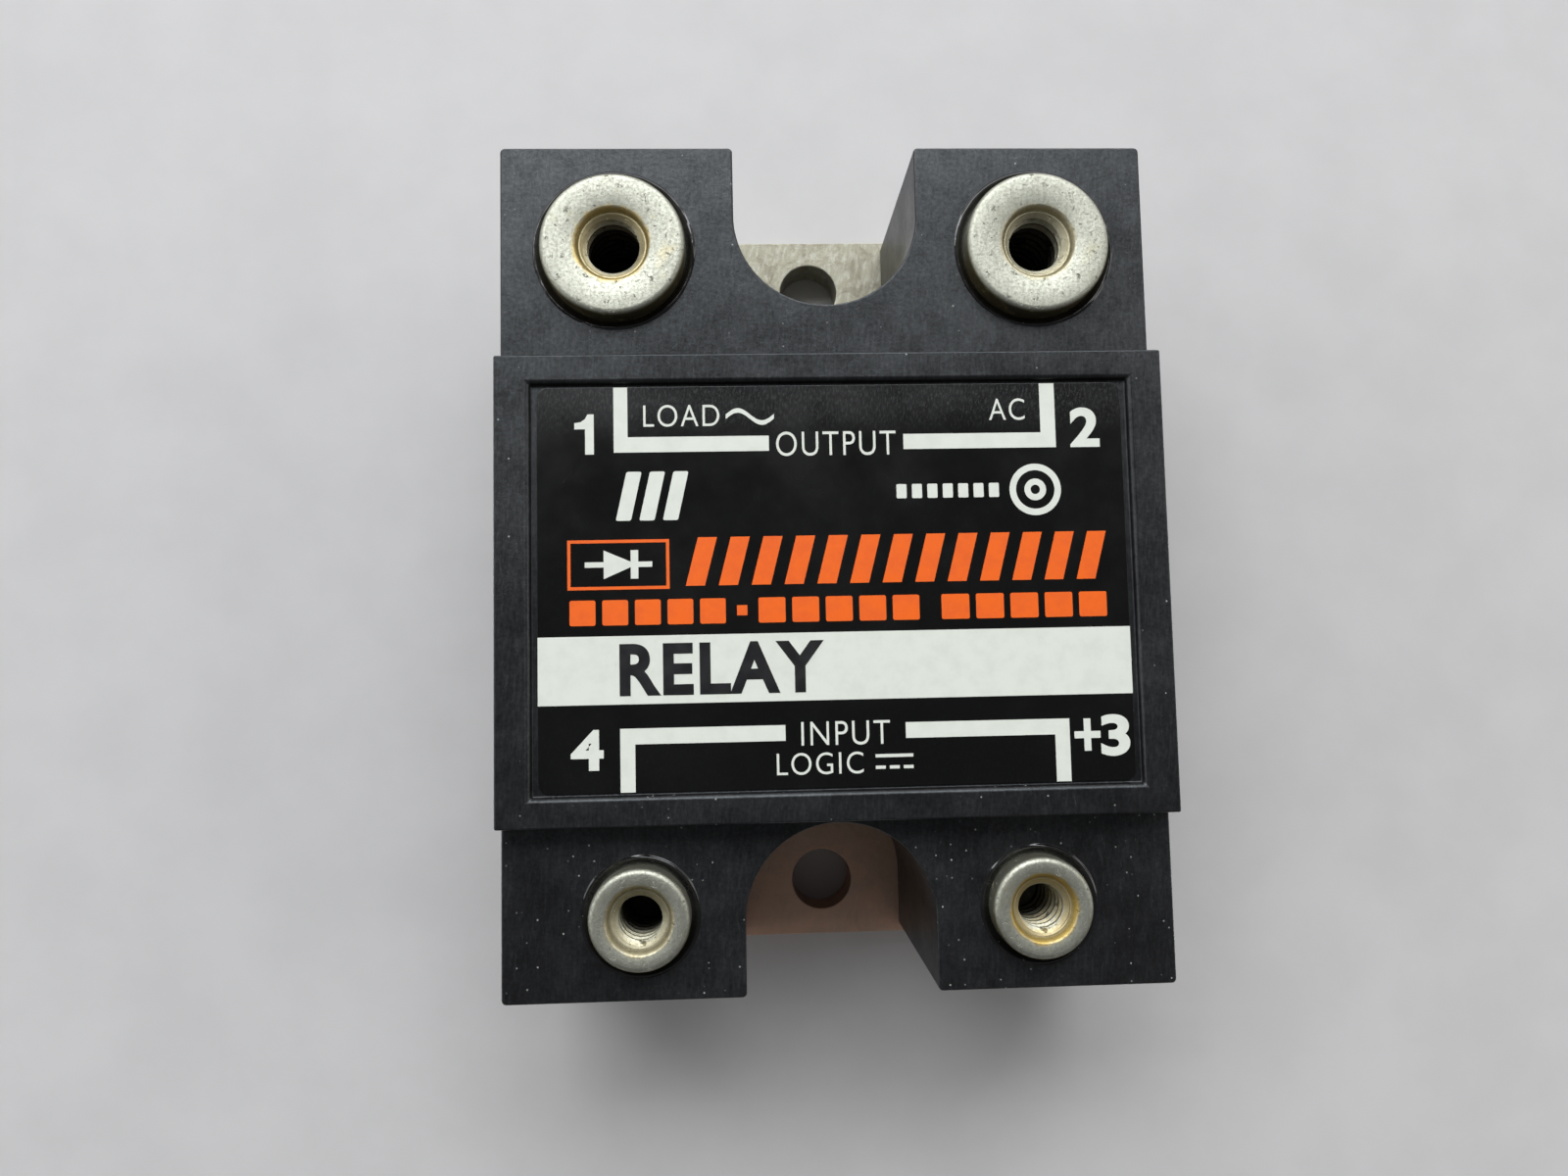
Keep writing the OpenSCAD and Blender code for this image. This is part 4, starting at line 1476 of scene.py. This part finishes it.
@dataclass
class Label:
    """The printed film in the window, with generic marks only."""

    corner_r: float = 0.7
    ink_t: float = 0.012
    bracket_y: Point2 = (6.78, -10.50)
    bracket_stroke: float = 0.98
    band: Point2 = (-9.01, -4.77)
    row: Point2 = (-4.10, -2.52)
    gutter: float = 0.02
    shapes: dict[Inks, list[Solid]] = field(default_factory=lambda: {ink: [] for ink in Inks})

    def outline(self, ink: Inks, points: Sequence[Point2]) -> Solid:
        """Print a filled outline.

        Args:
            ink: The print colour.
            points: The outline's corners.

        Returns:
            The printed shape.
        """
        top = Box.of("label").high.z
        shape = Solid.prism(points, top, top + self.ink_t)
        self.shapes[ink].append(shape)
        return shape

    def bar(self, ink: Inks, rect: Rect, rounding: float = 0.0, lean: float = 0.0) -> Solid:
        """Print a plain bar.

        Args:
            ink: The print colour.
            rect: Where it lies.
            rounding: The radius of its corners.
            lean: How far its upper edge stands to the right of its lower edge.

        Returns:
            The printed bar.
        """
        corners = [
            (rect.x0, rect.y0), (rect.x1, rect.y0), (rect.x1 + lean, rect.y1), (rect.x0 + lean, rect.y1)
        ]
        bar = self.outline(ink, corners)
        if rounding:
            bar.rounded(lambda a, b: abs(a.z - b.z) > self.ink_t / 2, rounding, 4)
        return bar

    def hollow(self, ink: Inks, rect: Rect, stroke: float) -> None:
        """Print a hollow box.

        Args:
            ink: The print colour.
            rect: Its outer edges.
            stroke: The thickness of its line.
        """
        top = Box.of("label").high.z
        core = Solid.box(
            (rect.x0 + stroke, rect.y0 + stroke, top - 1), (rect.x1 - stroke, rect.y1 - stroke, top + 1)
        )
        self.bar(ink, rect).cut(core)

    def glyphs(
        self, ink: Inks, text: str, rect: Rect, weight: float = 0.0, spacing: float = 1.0, layer: int = 0
    ) -> None:
        """Print generic characters, fitted into a rectangle.

        Args:
            ink: The print colour.
            text: The characters.
            rect: Where they lie.
            weight: How much the strokes are thickened.
            spacing: How widely the characters are set.
            layer: How many inks lie under them.
        """
        top = Box.of("label").high.z + layer * self.ink_t
        bpy.ops.object.text_add(location=(0, 0, 0))
        obj = bpy.context.object
        obj.data.body = text
        obj.data.extrude = 0.1
        obj.data.offset = weight
        obj.data.space_character = spacing
        obj.data.resolution_u = 8
        pick_alone(obj)
        bpy.ops.object.convert(target="MESH")
        glyph = Solid(bpy.context.object).cleaned()
        corners = glyph.obj.bound_box
        low = Vector(min(c[i] for c in corners) for i in range(3))
        high = Vector(max(c[i] for c in corners) for i in range(3))
        wide = (rect.x1 - rect.x0) / (high.x - low.x)
        tall = (rect.y1 - rect.y0) / (high.y - low.y)
        thin = self.ink_t / (high.z - low.z)
        glyph.obj.scale = (wide, tall, thin)
        glyph.obj.location = (rect.x0 - low.x * wide, rect.y0 - low.y * tall, top - low.z * thin)
        self.shapes[ink].append(glyph.settled())

    def wave(self, rect: Rect, thick: float) -> None:
        """Print the sign for alternating current.

        Args:
            rect: Where it lies.
            thick: The thickness of its stroke.
        """
        steps = 24
        middle, swing = (rect.y0 + rect.y1) / 2, (rect.y1 - rect.y0 - thick) / 2
        xs = [rect.x0 + (rect.x1 - rect.x0) * i / steps for i in range(steps + 1)]
        ys = [middle + swing * math.sin(2 * math.pi * i / steps) for i in range(steps + 1)]
        upper = [(x, y + thick / 2) for x, y in zip(xs, ys)]
        lower = [(x, y - thick / 2) for x, y in zip(reversed(xs), reversed(ys))]
        self.outline(Inks.WHITE, upper + lower)

    def ring(self, centre: Point2, outer: float, inner: float) -> None:
        """Print a plain ring.

        Args:
            centre: Its middle.
            outer: Its outer radius.
            inner: Its inner radius.
        """
        top = Box.of("label").high.z
        loop = [(inner, top), (outer, top), (outer, top + self.ink_t), (inner, top + self.ink_t)]
        self.shapes[Inks.WHITE].append(Solid.lathe(loop, centre, 48, ring=True))

    def brackets(self, box: Box) -> None:
        """Print the four L-shaped brackets that tie the words to the terminal numbers.

        Args:
            box: The label's box.
        """
        upper, lower = self.bracket_y
        thick = self.bracket_stroke
        top, bottom = box.high.y - self.gutter, box.low.y + self.gutter
        for outer, upright, far, y, rise, edge in (
            (-13.83, 0.88, -4.04, upper, thick, top), (14.36, -0.97, 4.53, upper, thick, top),
            (-13.60, 0.92, -3.37, lower, -thick, bottom), (14.51, -0.93, 4.15, lower, -thick, bottom),
        ):
            inner = outer + upright
            self.outline(Inks.WHITE, [
                (outer, edge), (outer, y), (far, y), (far, y + rise), (inner, y + rise), (inner, edge)
            ])

    def terminal_marks(self) -> None:
        """Print the terminal numbers, the polarity sign and the words for the two ends."""
        white = Inks.WHITE
        self.outline(white, [
            (-15.07, 6.68), (-15.07, 9.25), (-15.46, 9.25), (-15.62, 8.95), (-15.90, 8.76), (-16.29, 8.70),
            (-16.29, 8.30), (-15.62, 8.30), (-15.62, 6.68),
        ])
        for text, rect in (
            ("2", Rect(15.30, 17.21, 6.77, 9.35)), ("4", Rect(-16.64, -14.62, -13.03, -10.53)),
            ("3", Rect(16.48, 18.34, -12.91, -10.30)),
        ):
            self.glyphs(white, text, rect, weight=0.034)
        x, y, arm, half = 15.63, -11.54, (0.83, 1.01), 0.22
        self.outline(white, [
            (x - arm[0], y - half), (x - half, y - half), (x - half, y - arm[1]), (x + half, y - arm[1]),
            (x + half, y - half), (x + arm[0], y - half), (x + arm[0], y + half), (x + half, y + half),
            (x + half, y + arm[1]), (x - half, y + arm[1]), (x - half, y + half), (x - arm[0], y + half),
        ])
        self.glyphs(white, "OUTPUT", Rect(-3.59, 4.04, 6.43, 8.00), weight=-0.006, spacing=1.12)
        self.glyphs(white, "INPUT", Rect(-2.39, 3.17, -11.82, -10.34), weight=-0.006, spacing=1.12)
        self.wave(Rect(-6.75, -3.69, 8.45, 9.55), 0.30)
        self.bar(white, Rect(2.21, 4.58, -12.64, -12.44))
        for dash in Rect(2.21, 4.58, -13.35, -13.15).split(3, 0.25):
            self.bar(white, dash)

    def plain_marks(self) -> None:
        """Print plain shapes where ratings, approvals and a maker's words would stand."""
        white, orange, black = Inks.WHITE, Inks.ORANGE, Inks.BLACK
        for word, rect in (
            ("LOAD", Rect(-11.96, -7.15, 8.40, 9.80)), ("AC", Rect(10.10, 12.41, 8.58, 9.98)),
            ("LOGIC", Rect(-3.95, 1.45, -13.60, -12.25)),
        ):
            self.glyphs(white, word, rect, weight=-0.006, spacing=1.12)
        for mark in Rect(4.00, 10.57, 3.62, 4.53).split(7, 0.34):
            self.bar(white, mark, 0.08)
        for bar in Rect(-13.75, -9.85, 2.45, 5.55).split(3, 0.52):
            self.bar(white, bar, 0.12, lean=0.70)
        self.ring((12.91, 4.07), 1.66, 1.24)
        self.ring((12.91, 4.07), 0.70, 0.30)
        self.hollow(orange, Rect(-16.78, -10.43, -1.87, 1.26), 0.20)
        self.diode_sign(Rect(-15.70, -11.50, -1.20, 0.60), 0.34)
        for bar in Rect(-9.43, 16.55, -1.71, 1.34).split(13, 0.86):
            self.bar(orange, bar, lean=0.80)
        for start, end in ((-16.66, -6.95), (-4.90, 5.25), (6.65, 17.22)):
            for mark in Rect(start, end, *self.row).split(5, 0.42):
                self.bar(orange, mark, 0.12)
        self.bar(orange, Rect(-6.25, -5.60, -3.62, -2.98))
        self.glyphs(black, "RELAY", Rect(-13.60, -0.86, -8.50, -5.25), weight=0.034, spacing=1.12, layer=1)

    def diode_sign(self, rect: Rect, line: float) -> None:
        """Print the circuit sign of a diode.

        Args:
            rect: Where it lies.
            line: The thickness of its lines.
        """
        middle = (rect.y0 + rect.y1) / 2
        under, over = middle - line / 2, middle + line / 2
        left, right = (rect.x0 + (rect.x1 - rect.x0) * share for share in (0.28, 0.68))
        bar = right + line * 1.4
        self.outline(Inks.WHITE, [
            (rect.x0, under), (left, under), (left, rect.y0), (right, under), (right, rect.y0),
            (bar, rect.y0), (bar, under), (rect.x1, under), (rect.x1, over), (bar, over), (bar, rect.y1),
            (right, rect.y1), (right, over), (left, rect.y1), (left, over), (rect.x0, over),
        ])

    def build(self) -> None:
        """Model the film and its print."""
        box = Box.of("label")
        film = Solid.box(box.low, box.high)
        film.rounded(lambda a, b: abs(a.z - b.z) > 0.05, self.corner_r, 8)
        film.softened(0.03, 2)
        deliver(film, "label_film", PrintedFilm(), ["label"])
        self.brackets(box)
        self.terminal_marks()
        self.plain_marks()
        self.bar(Inks.WHITE, Rect(box.low.x + 0.01, box.high.x - 0.01, *self.band))
        for ink, shapes in self.shapes.items():
            print_layer = shapes[0].joined(*shapes[1:])
            deliver(print_layer, f"label_print_{ink.name.lower()}", ink.value)


# Parts inside ----------------------------------------------------------------------------------

@dataclass
class AxialPart:
    """A row of round components, each lying on the board with its two wires bent down through it."""

    node: str
    slot: str
    body: Finish
    bands: tuple[Finish, ...]
    radius: float
    length: float
    pitch: float
    turn: float = 0
    count: int = 1
    spacing: float = 0
    diode: bool = False

    bend: float = 0.8
    cap_share: float = 0.44
    waist: float = 0.88
    cap_round: float = 0.35
    cap_slope: float = 0.5
    diode_edge: float = 0.12

    def body_profile(self) -> list[Point2]:
        """Return the body's profile about its own length, from one end to the other.

        Returns:
            The radius of each point and its place along the body.
        """
        half, r = self.length / 2, self.radius
        if self.diode:
            c = self.diode_edge
            return [(0, -half), (r - c, -half), (r, -half + c), (r, half - c), (r - c, half), (0, half)]
        waist_start = half * self.cap_share - half
        end = arc((r - self.cap_round, -half + self.cap_round), self.cap_round, -90, 0, 4)
        start = [(0, -half), *end, (r, waist_start), (r * self.waist, waist_start + self.cap_slope)]
        return start + [(x, -z) for x, z in reversed(start)]

    def band_spans(self) -> list[Point2]:
        """Return where each painted band starts and ends along the body.

        Returns:
            One pair for each band.
        """
        half = self.length / 2
        if self.diode:
            return [(half * 0.45, half * 0.8)]
        starts = [-half * 0.80 + i * self.length * 0.17 for i in range(len(self.bands))]
        return [(start, start + self.length * 0.07) for start in starts]

    def band_of(self, middle: Vector) -> int:
        """Return the material slot of a face of the body.

        Args:
            middle: The middle of the face, with the body upright.

        Returns:
            The slot: 0 for the body and from 1 for the bands.
        """
        for slot, (start, end) in enumerate(self.band_spans(), start=1):
            if start < middle.z < end:
                return slot
        return 0

    def build_one(self, at: Point2) -> Solid:
        """Model one component standing at a place on the board.

        Args:
            at: The middle of the component in plan.

        Returns:
            The component, painted.
        """
        body = Solid.lathe(self.body_profile(), steps=32)
        pick_alone(body.obj)
        bpy.ops.object.mode_set(mode="EDIT")
        for span in self.band_spans():
            for height in span:
                bpy.ops.mesh.select_all(action="SELECT")
                bpy.ops.mesh.bisect(plane_co=(0, 0, height), plane_no=(0, 0, 1))
        body.cleaned()
        finishes = [self.body, *self.bands, TINNED]
        paint(body, finishes, self.band_of)
        axis_z = BOARD_TOP + PART_LIFT + self.radius
        whole = body.turned(90, "Y").moved((0, 0, axis_z))
        wire_end = self.length / 2 - 0.05
        for side in (-1, 1):
            hole = side * self.pitch / 2
            path = [(hole, 0, BOARD_FOOT), (hole, 0, axis_z), (side * wire_end, 0, axis_z)]
            wire = bent_wire(path, LEAD_R, self.bend)
            paint(wire, finishes, lambda _: len(finishes) - 1)
            whole = whole.joined(wire)
        return whole.turned(self.turn, "Z").moved((*at, 0))

    def build(self) -> None:
        """Model every component of the row."""
        x, y = Box.of(self.node).plan
        first = x - self.spacing * (self.count - 1) / 2
        made = [self.build_one((first + i * self.spacing, y)) for i in range(self.count)]
        whole = made[0].joined(*made[1:])
        deliver(whole, f"{self.node}_wired", self.body, [self.node], smooth=40)


@dataclass
class BoardParts:
    """The parts on the control board that aren't axial."""

    opto_pitch: float = 2.54
    opto_row: float = 3.81
    opto_shoulder: float = 0.75
    opto_pin_half: Point2 = (0.25, 0.65)
    opto_pin_half_t: float = 0.15
    film_lead: float = 5.0
    film_round: float = 0.7
    disc_r: float = 2.6
    disc_lead: float = 2.54
    package_pitch: float = 1.27
    package_lift: float = 1.8
    package_pin_half: float = 0.225

    def pins(self, places: Iterable[Point2], top: float) -> list[Solid]:
        """Return round straight leads from the board's underside up to a height."""
        return [Solid.rod(at, LEAD_R, BOARD_FOOT, top, 16).softened(0.04, 1) for at in places]

    def leaded(self, body: Solid, leads: Sequence[Solid], finish: Finish) -> Solid:
        """Paint a body and its tinned leads, and join them.

        Args:
            body: The body.
            leads: The leads, which are used up.
            finish: The body's finish.

        Returns:
            The body with its leads.
        """
        paint(body, [finish, TINNED], lambda _: 0)
        for lead in leads:
            paint(lead, [finish, TINNED], lambda _: 1)
        return body.joined(*leads)

    def opto_pin(self, at: Point2, inner_y: float, height: float) -> Solid:
        """Return one bent pin of the six-pin package.

        Args:
            at: Where the pin goes through the board.
            inner_y: Where its arm ends in the package.
            height: The height of its arm.

        Returns:
            The pin.
        """
        x, y = at
        t = self.opto_pin_half_t
        narrow, wide = self.opto_pin_half
        leg = Solid.box((x - narrow, y - t, BOARD_FOOT), (x + narrow, y + t, height + t))
        shoulder = Solid.box((x - wide, y - t, BOARD_TOP + 0.1), (x + wide, y + t, height + t))
        arm = Solid.box((x - wide, min(y, inner_y), height - t), (x + wide, max(y, inner_y), height + t))
        return leg.fuse(shoulder, arm).softened(0.05, 2)

    def optocoupler(self) -> None:
        """Model the six-pin package with its notch and bent pins."""
        box = Box.of("optocoupler")
        x, y = box.plan
        low, high = BOARD_TOP + PART_LIFT, box.high.z
        half_l, half_w = box.size.x / 2, box.size.y / 2 - self.opto_shoulder
        middle = (low + high) / 2
        body = Solid.box((x - half_l, y - half_w, low), (x + half_l, y + half_w, high))
        body.edges_picked(lambda a, b: abs(a.z - middle) > 1 and abs(a.z - b.z) < NEAR)
        bpy.ops.mesh.bevel(offset=0.35, segments=1, affect="EDGES")
        bpy.ops.object.mode_set(mode="OBJECT")
        body.softened(0.08, 2)
        body.cut(Solid.rod((x - half_l, y), 0.8, high - 0.5, high + 1, 32))
        body.cut(Solid.rod((x - half_l + 1.3, y - half_w + 1.4), 0.4, high - 0.15, high + 1, 24))
        pins = []
        for side in (-1, 1):
            row_y, inner_y = y + side * self.opto_row, y + side * (half_w - 0.1)
            pins += [self.opto_pin((x + i * self.opto_pitch, row_y), inner_y, middle) for i in (-1, 0, 1)]
        whole = self.leaded(body, pins, WHITE_PACKAGE)
        deliver(whole, "optocoupler_package", WHITE_PACKAGE, ["optocoupler"])

    def film_capacitor(self) -> None:
        """Model the dipped box capacitor."""
        box = Box.of("snubber_capacitor")
        low = BOARD_TOP + PART_LIFT
        x, y = box.plan
        body = Solid.box((box.low.x, box.low.y, low), box.high)
        body.rounded(lambda a, b: True, self.film_round, 5)
        body.softened(0.05, 1)
        leads = self.pins([(x + side * self.film_lead, y) for side in (-1, 1)], low + 0.1)
        whole = self.leaded(body, leads, RED_DIP)
        deliver(whole, "snubber_capacitor_dipped", RED_DIP, ["snubber_capacitor"])

    def disc_capacitor(self) -> None:
        """Model the dipped disc capacitor."""
        box = Box.of("filter_capacitor")
        x, y = box.plan
        half = box.size.x / 2
        axis_z = box.high.z - self.disc_r
        flat = self.disc_r * 0.25
        edge = arc((self.disc_r - half, 0), half, -90, 90, 10)
        profile = [(0, -half), (flat, -half), *edge, (flat, half), (0, half)]
        body = Solid.lathe(profile, steps=48).turned(90, "Y").moved((x, y, axis_z))
        leads = self.pins([(x, y + side * self.disc_lead) for side in (-1, 1)], axis_z)
        whole = self.leaded(body, leads, OCHRE_DIP)
        name = "filter_capacitor"
        deliver(whole, f"{name}_dipped", OCHRE_DIP, [name], smooth=50)

    def small_package(self, node: str) -> None:
        """Model a three-pin package with a flat front.

        Args:
            node: The CAD node that it replaces.
        """
        box = Box.of(node)
        radius = box.size.x / 2
        x, axis_y = box.middle.x, box.high.y - radius
        low, high = BOARD_TOP + self.package_lift, box.high.z
        body = Solid.rod((x, axis_y), radius, low, high, 48)
        body.cut(Solid.box((x - 4, axis_y - 6, low - 1), (x + 4, box.low.y + 0.001, high + 1)))
        body.softened(0.12, 3, 50)
        half, pins = self.package_pin_half, []
        for i in (-1, 0, 1):
            pin_x = x + i * self.package_pitch
            corner = (pin_x - half, axis_y - half, BOARD_FOOT)
            pins.append(Solid.box(corner, (pin_x + half, axis_y + half, low + 0.1)).softened(0.04, 1))
        whole = self.leaded(body, pins, BLACK_PACKAGE)
        deliver(whole, f"{node}_package", BLACK_PACKAGE, [node])

    def build(self) -> None:
        """Model every part of the control circuit that isn't axial, and dress the board."""
        dress("control_board", BoardLacquer())
        self.optocoupler()
        self.film_capacitor()
        self.disc_capacitor()
        self.small_package("limiter_transistor")
        self.small_package("trigger_thyristor")
        dress("solder_joints", SOLDER)
        dress("gate_leads", TINNED)


@dataclass
class PowerStage:
    """The substrate, pads, dies, clips and straps, which keep their CAD shapes."""

    copper: tuple[str, ...] = (
        "copper_pads", "cathode_clip_1", "cathode_clip_2", "output_strap_1", "output_strap_2"
    )
    dies: tuple[str, ...] = ("thyristor_die_1", "thyristor_die_2")

    def build(self) -> None:
        """Dress the power stage and the potting round it."""
        dress("ceramic_substrate", ALUMINA)
        for node in self.copper:
            dress(node, COPPER)
        for node in self.dies:
            dress(node, SILICON)
        dress("potting_compound", PottingEpoxy())


def axial_parts() -> list[AxialPart]:
    """Return the resistors and diodes of the control circuit.

    Returns:
        The rows of components, in the order in which they are built.
    """
    power = {"radius": 1.6, "length": 9, "pitch": 12.7}
    signal = {"radius": 1.2, "length": 6.3, "pitch": 9}
    brown = ("resistor_brown", BROWN_LACQUER, WARM_BANDS)
    tan = ("resistor_tan", TAN_LACQUER, WARM_BANDS)
    return [
        AxialPart("snubber_resistor", *brown, **power),
        AxialPart("input_resistor", *brown, **power),
        AxialPart("gate_resistors", *tan, **signal, count=2, spacing=10.4),
        AxialPart("bias_resistors", *tan, **signal, turn=90, count=2, spacing=2.9),
        AxialPart("input_diode", "black_package", BLACK_PACKAGE, (SILVER_BAND,), 1.3, 5, 10.16, diode=True),
        AxialPart(
            "bridge_diodes", "glass_diode", AMBER_GLASS, (DARK_BAND,), 0.85, 4, 7.62,
            turn=90, count=4, spacing=2, diode=True,
        ),
    ]


# Stage -----------------------------------------------------------------------------------------

@dataclass
class Stage:
    """The floor, the lights and the camera."""

    camera_at: Point3 = (-5.985, -6.681, 87.676)
    camera_turn: Point3 = (4.163, -2.274, -1.204)
    lens: float = 24.085
    room_dim: float = 0.12
    room_bright: float = 1.60
    room_tint: Colour = (0.97, 0.98, 1.0)

    def floor(self) -> None:
        """Lay the floor under the relay."""
        bpy.ops.mesh.primitive_plane_add(size=12, location=(0, 0, 0))
        floor = bpy.context.object
        floor.name = "floor"
        floor.data.materials.append(PaleFloor().material())

    def camera(self) -> None:
        """Set up the camera over the relay."""
        data = bpy.data.cameras.new("camera")
        data.lens = self.lens
        data.sensor_width = 36
        data.clip_start = 0.002
        data.clip_end = 20
        camera = bpy.data.objects.new("camera", data)
        camera.location = Vector(self.camera_at) * MM
        camera.rotation_euler = Euler([math.radians(a) for a in self.camera_turn], "XYZ")
        bpy.context.scene.collection.objects.link(camera)
        bpy.context.scene.camera = camera

    def softbox(
        self, name: str, at: Point3, target: Point3, size: Point2, power: float, tint: Colour
    ) -> None:
        """Hang a soft rectangular light.

        Args:
            name: The light's name.
            at: Its place, in metres.
            target: The point that it faces.
            size: Its width and height.
            power: Its power in watts.
            tint: Its colour.
        """
        data = bpy.data.lights.new(name, "AREA")
        data.shape = "RECTANGLE"
        data.size, data.size_y = size
        data.energy = power
        data.color = tint
        light = bpy.data.objects.new(name, data)
        light.location = at
        light.rotation_euler = (Vector(target) - Vector(at)).to_track_quat("-Z", "Y").to_euler()
        bpy.context.scene.collection.objects.link(light)

    def room(self) -> None:
        """Surround the stage with a soft room, dim but for a bright side beyond the output end."""
        world = bpy.data.worlds.new("soft_room")
        world.use_nodes = True
        tree = world.node_tree
        background = tree.nodes["Background"]
        place = tree.nodes.new("ShaderNodeTexCoord")
        parts = tree.nodes.new("ShaderNodeSeparateXYZ")
        tree.links.new(place.outputs["Generated"], parts.inputs[0])
        glow = tree.nodes.new("ShaderNodeMapRange")
        glow.interpolation_type = "SMOOTHSTEP"
        tree.links.new(parts.outputs[1], glow.inputs["Value"])
        reach = {"From Min": 0.20, "From Max": 0.95, "To Min": self.room_dim, "To Max": self.room_bright}
        for name, value in reach.items():
            glow.inputs[name].default_value = value
        tree.links.new(glow.outputs[0], background.inputs["Strength"])
        background.inputs["Color"].default_value = (*self.room_tint, 1)
        bpy.context.scene.world = world

    def build(self) -> None:
        """Set the stage."""
        self.floor()
        self.camera()
        for name, at, target, size, power, tint in (
            ("far_panel", (-0.08, 0.56, 0.62), (0, 0.02, 0), (0.96, 0.40), 7.4, (0.955, 0.98, 1.0)),
            ("left_fill", (-0.70, 0.05, 0.36), (0, 0, 0.01), (0.50, 0.40), 1.4, (0.97, 0.99, 1.0)),
            ("right_fill", (0.70, 0.10, 0.36), (0, 0, 0.01), (0.50, 0.40), 1.2, (1.0, 0.98, 0.95)),
        ):
            self.softbox(name, at, target, size, power, tint)
        self.room()
        bpy.context.scene.view_settings.view_transform = "Standard"


# Assembly --------------------------------------------------------------------------------------

def main() -> None:
    """Build the relay and its stage, in order."""
    logging.basicConfig(level=logging.INFO, format="%(name)s: %(message)s")
    Stage().build()
    BasePlate().build()
    output = {"bore_r": 1.725, "root_r": 2.085, "depth": 7.6, "grip": 2.4, "shank_r": 2.8}
    small = {"bore_r": 1.40, "root_r": 1.75, "depth": 7.0, "grip": 1.6, "shank_r": 2.1}
    # The last two numbers of each post set the painted shade in its countersink and bore.
    posts = [
        TerminalPost("output_terminal_1", **output, gold_share=0.80, shade_share=0.97, shade_depth=2.4),
        TerminalPost("output_terminal_2", **output, gold_share=0.35, shade_share=0.94, shade_depth=2.8),
        TerminalPost("input_terminal_3", **small, gold_share=0.95, shade_share=0.60, shade_depth=6.0),
        TerminalPost("input_terminal_4", **small, gold_share=0.35, shade_share=0.90, shade_depth=4.5),
    ]
    Housing().build([(post.at, post.well_r) for post in posts])
    for post in posts:
        post.build()
    Label().build()
    for part in axial_parts():
        part.build()
    BoardParts().build()
    PowerStage().build()


if __name__ == "__main__":
    main()
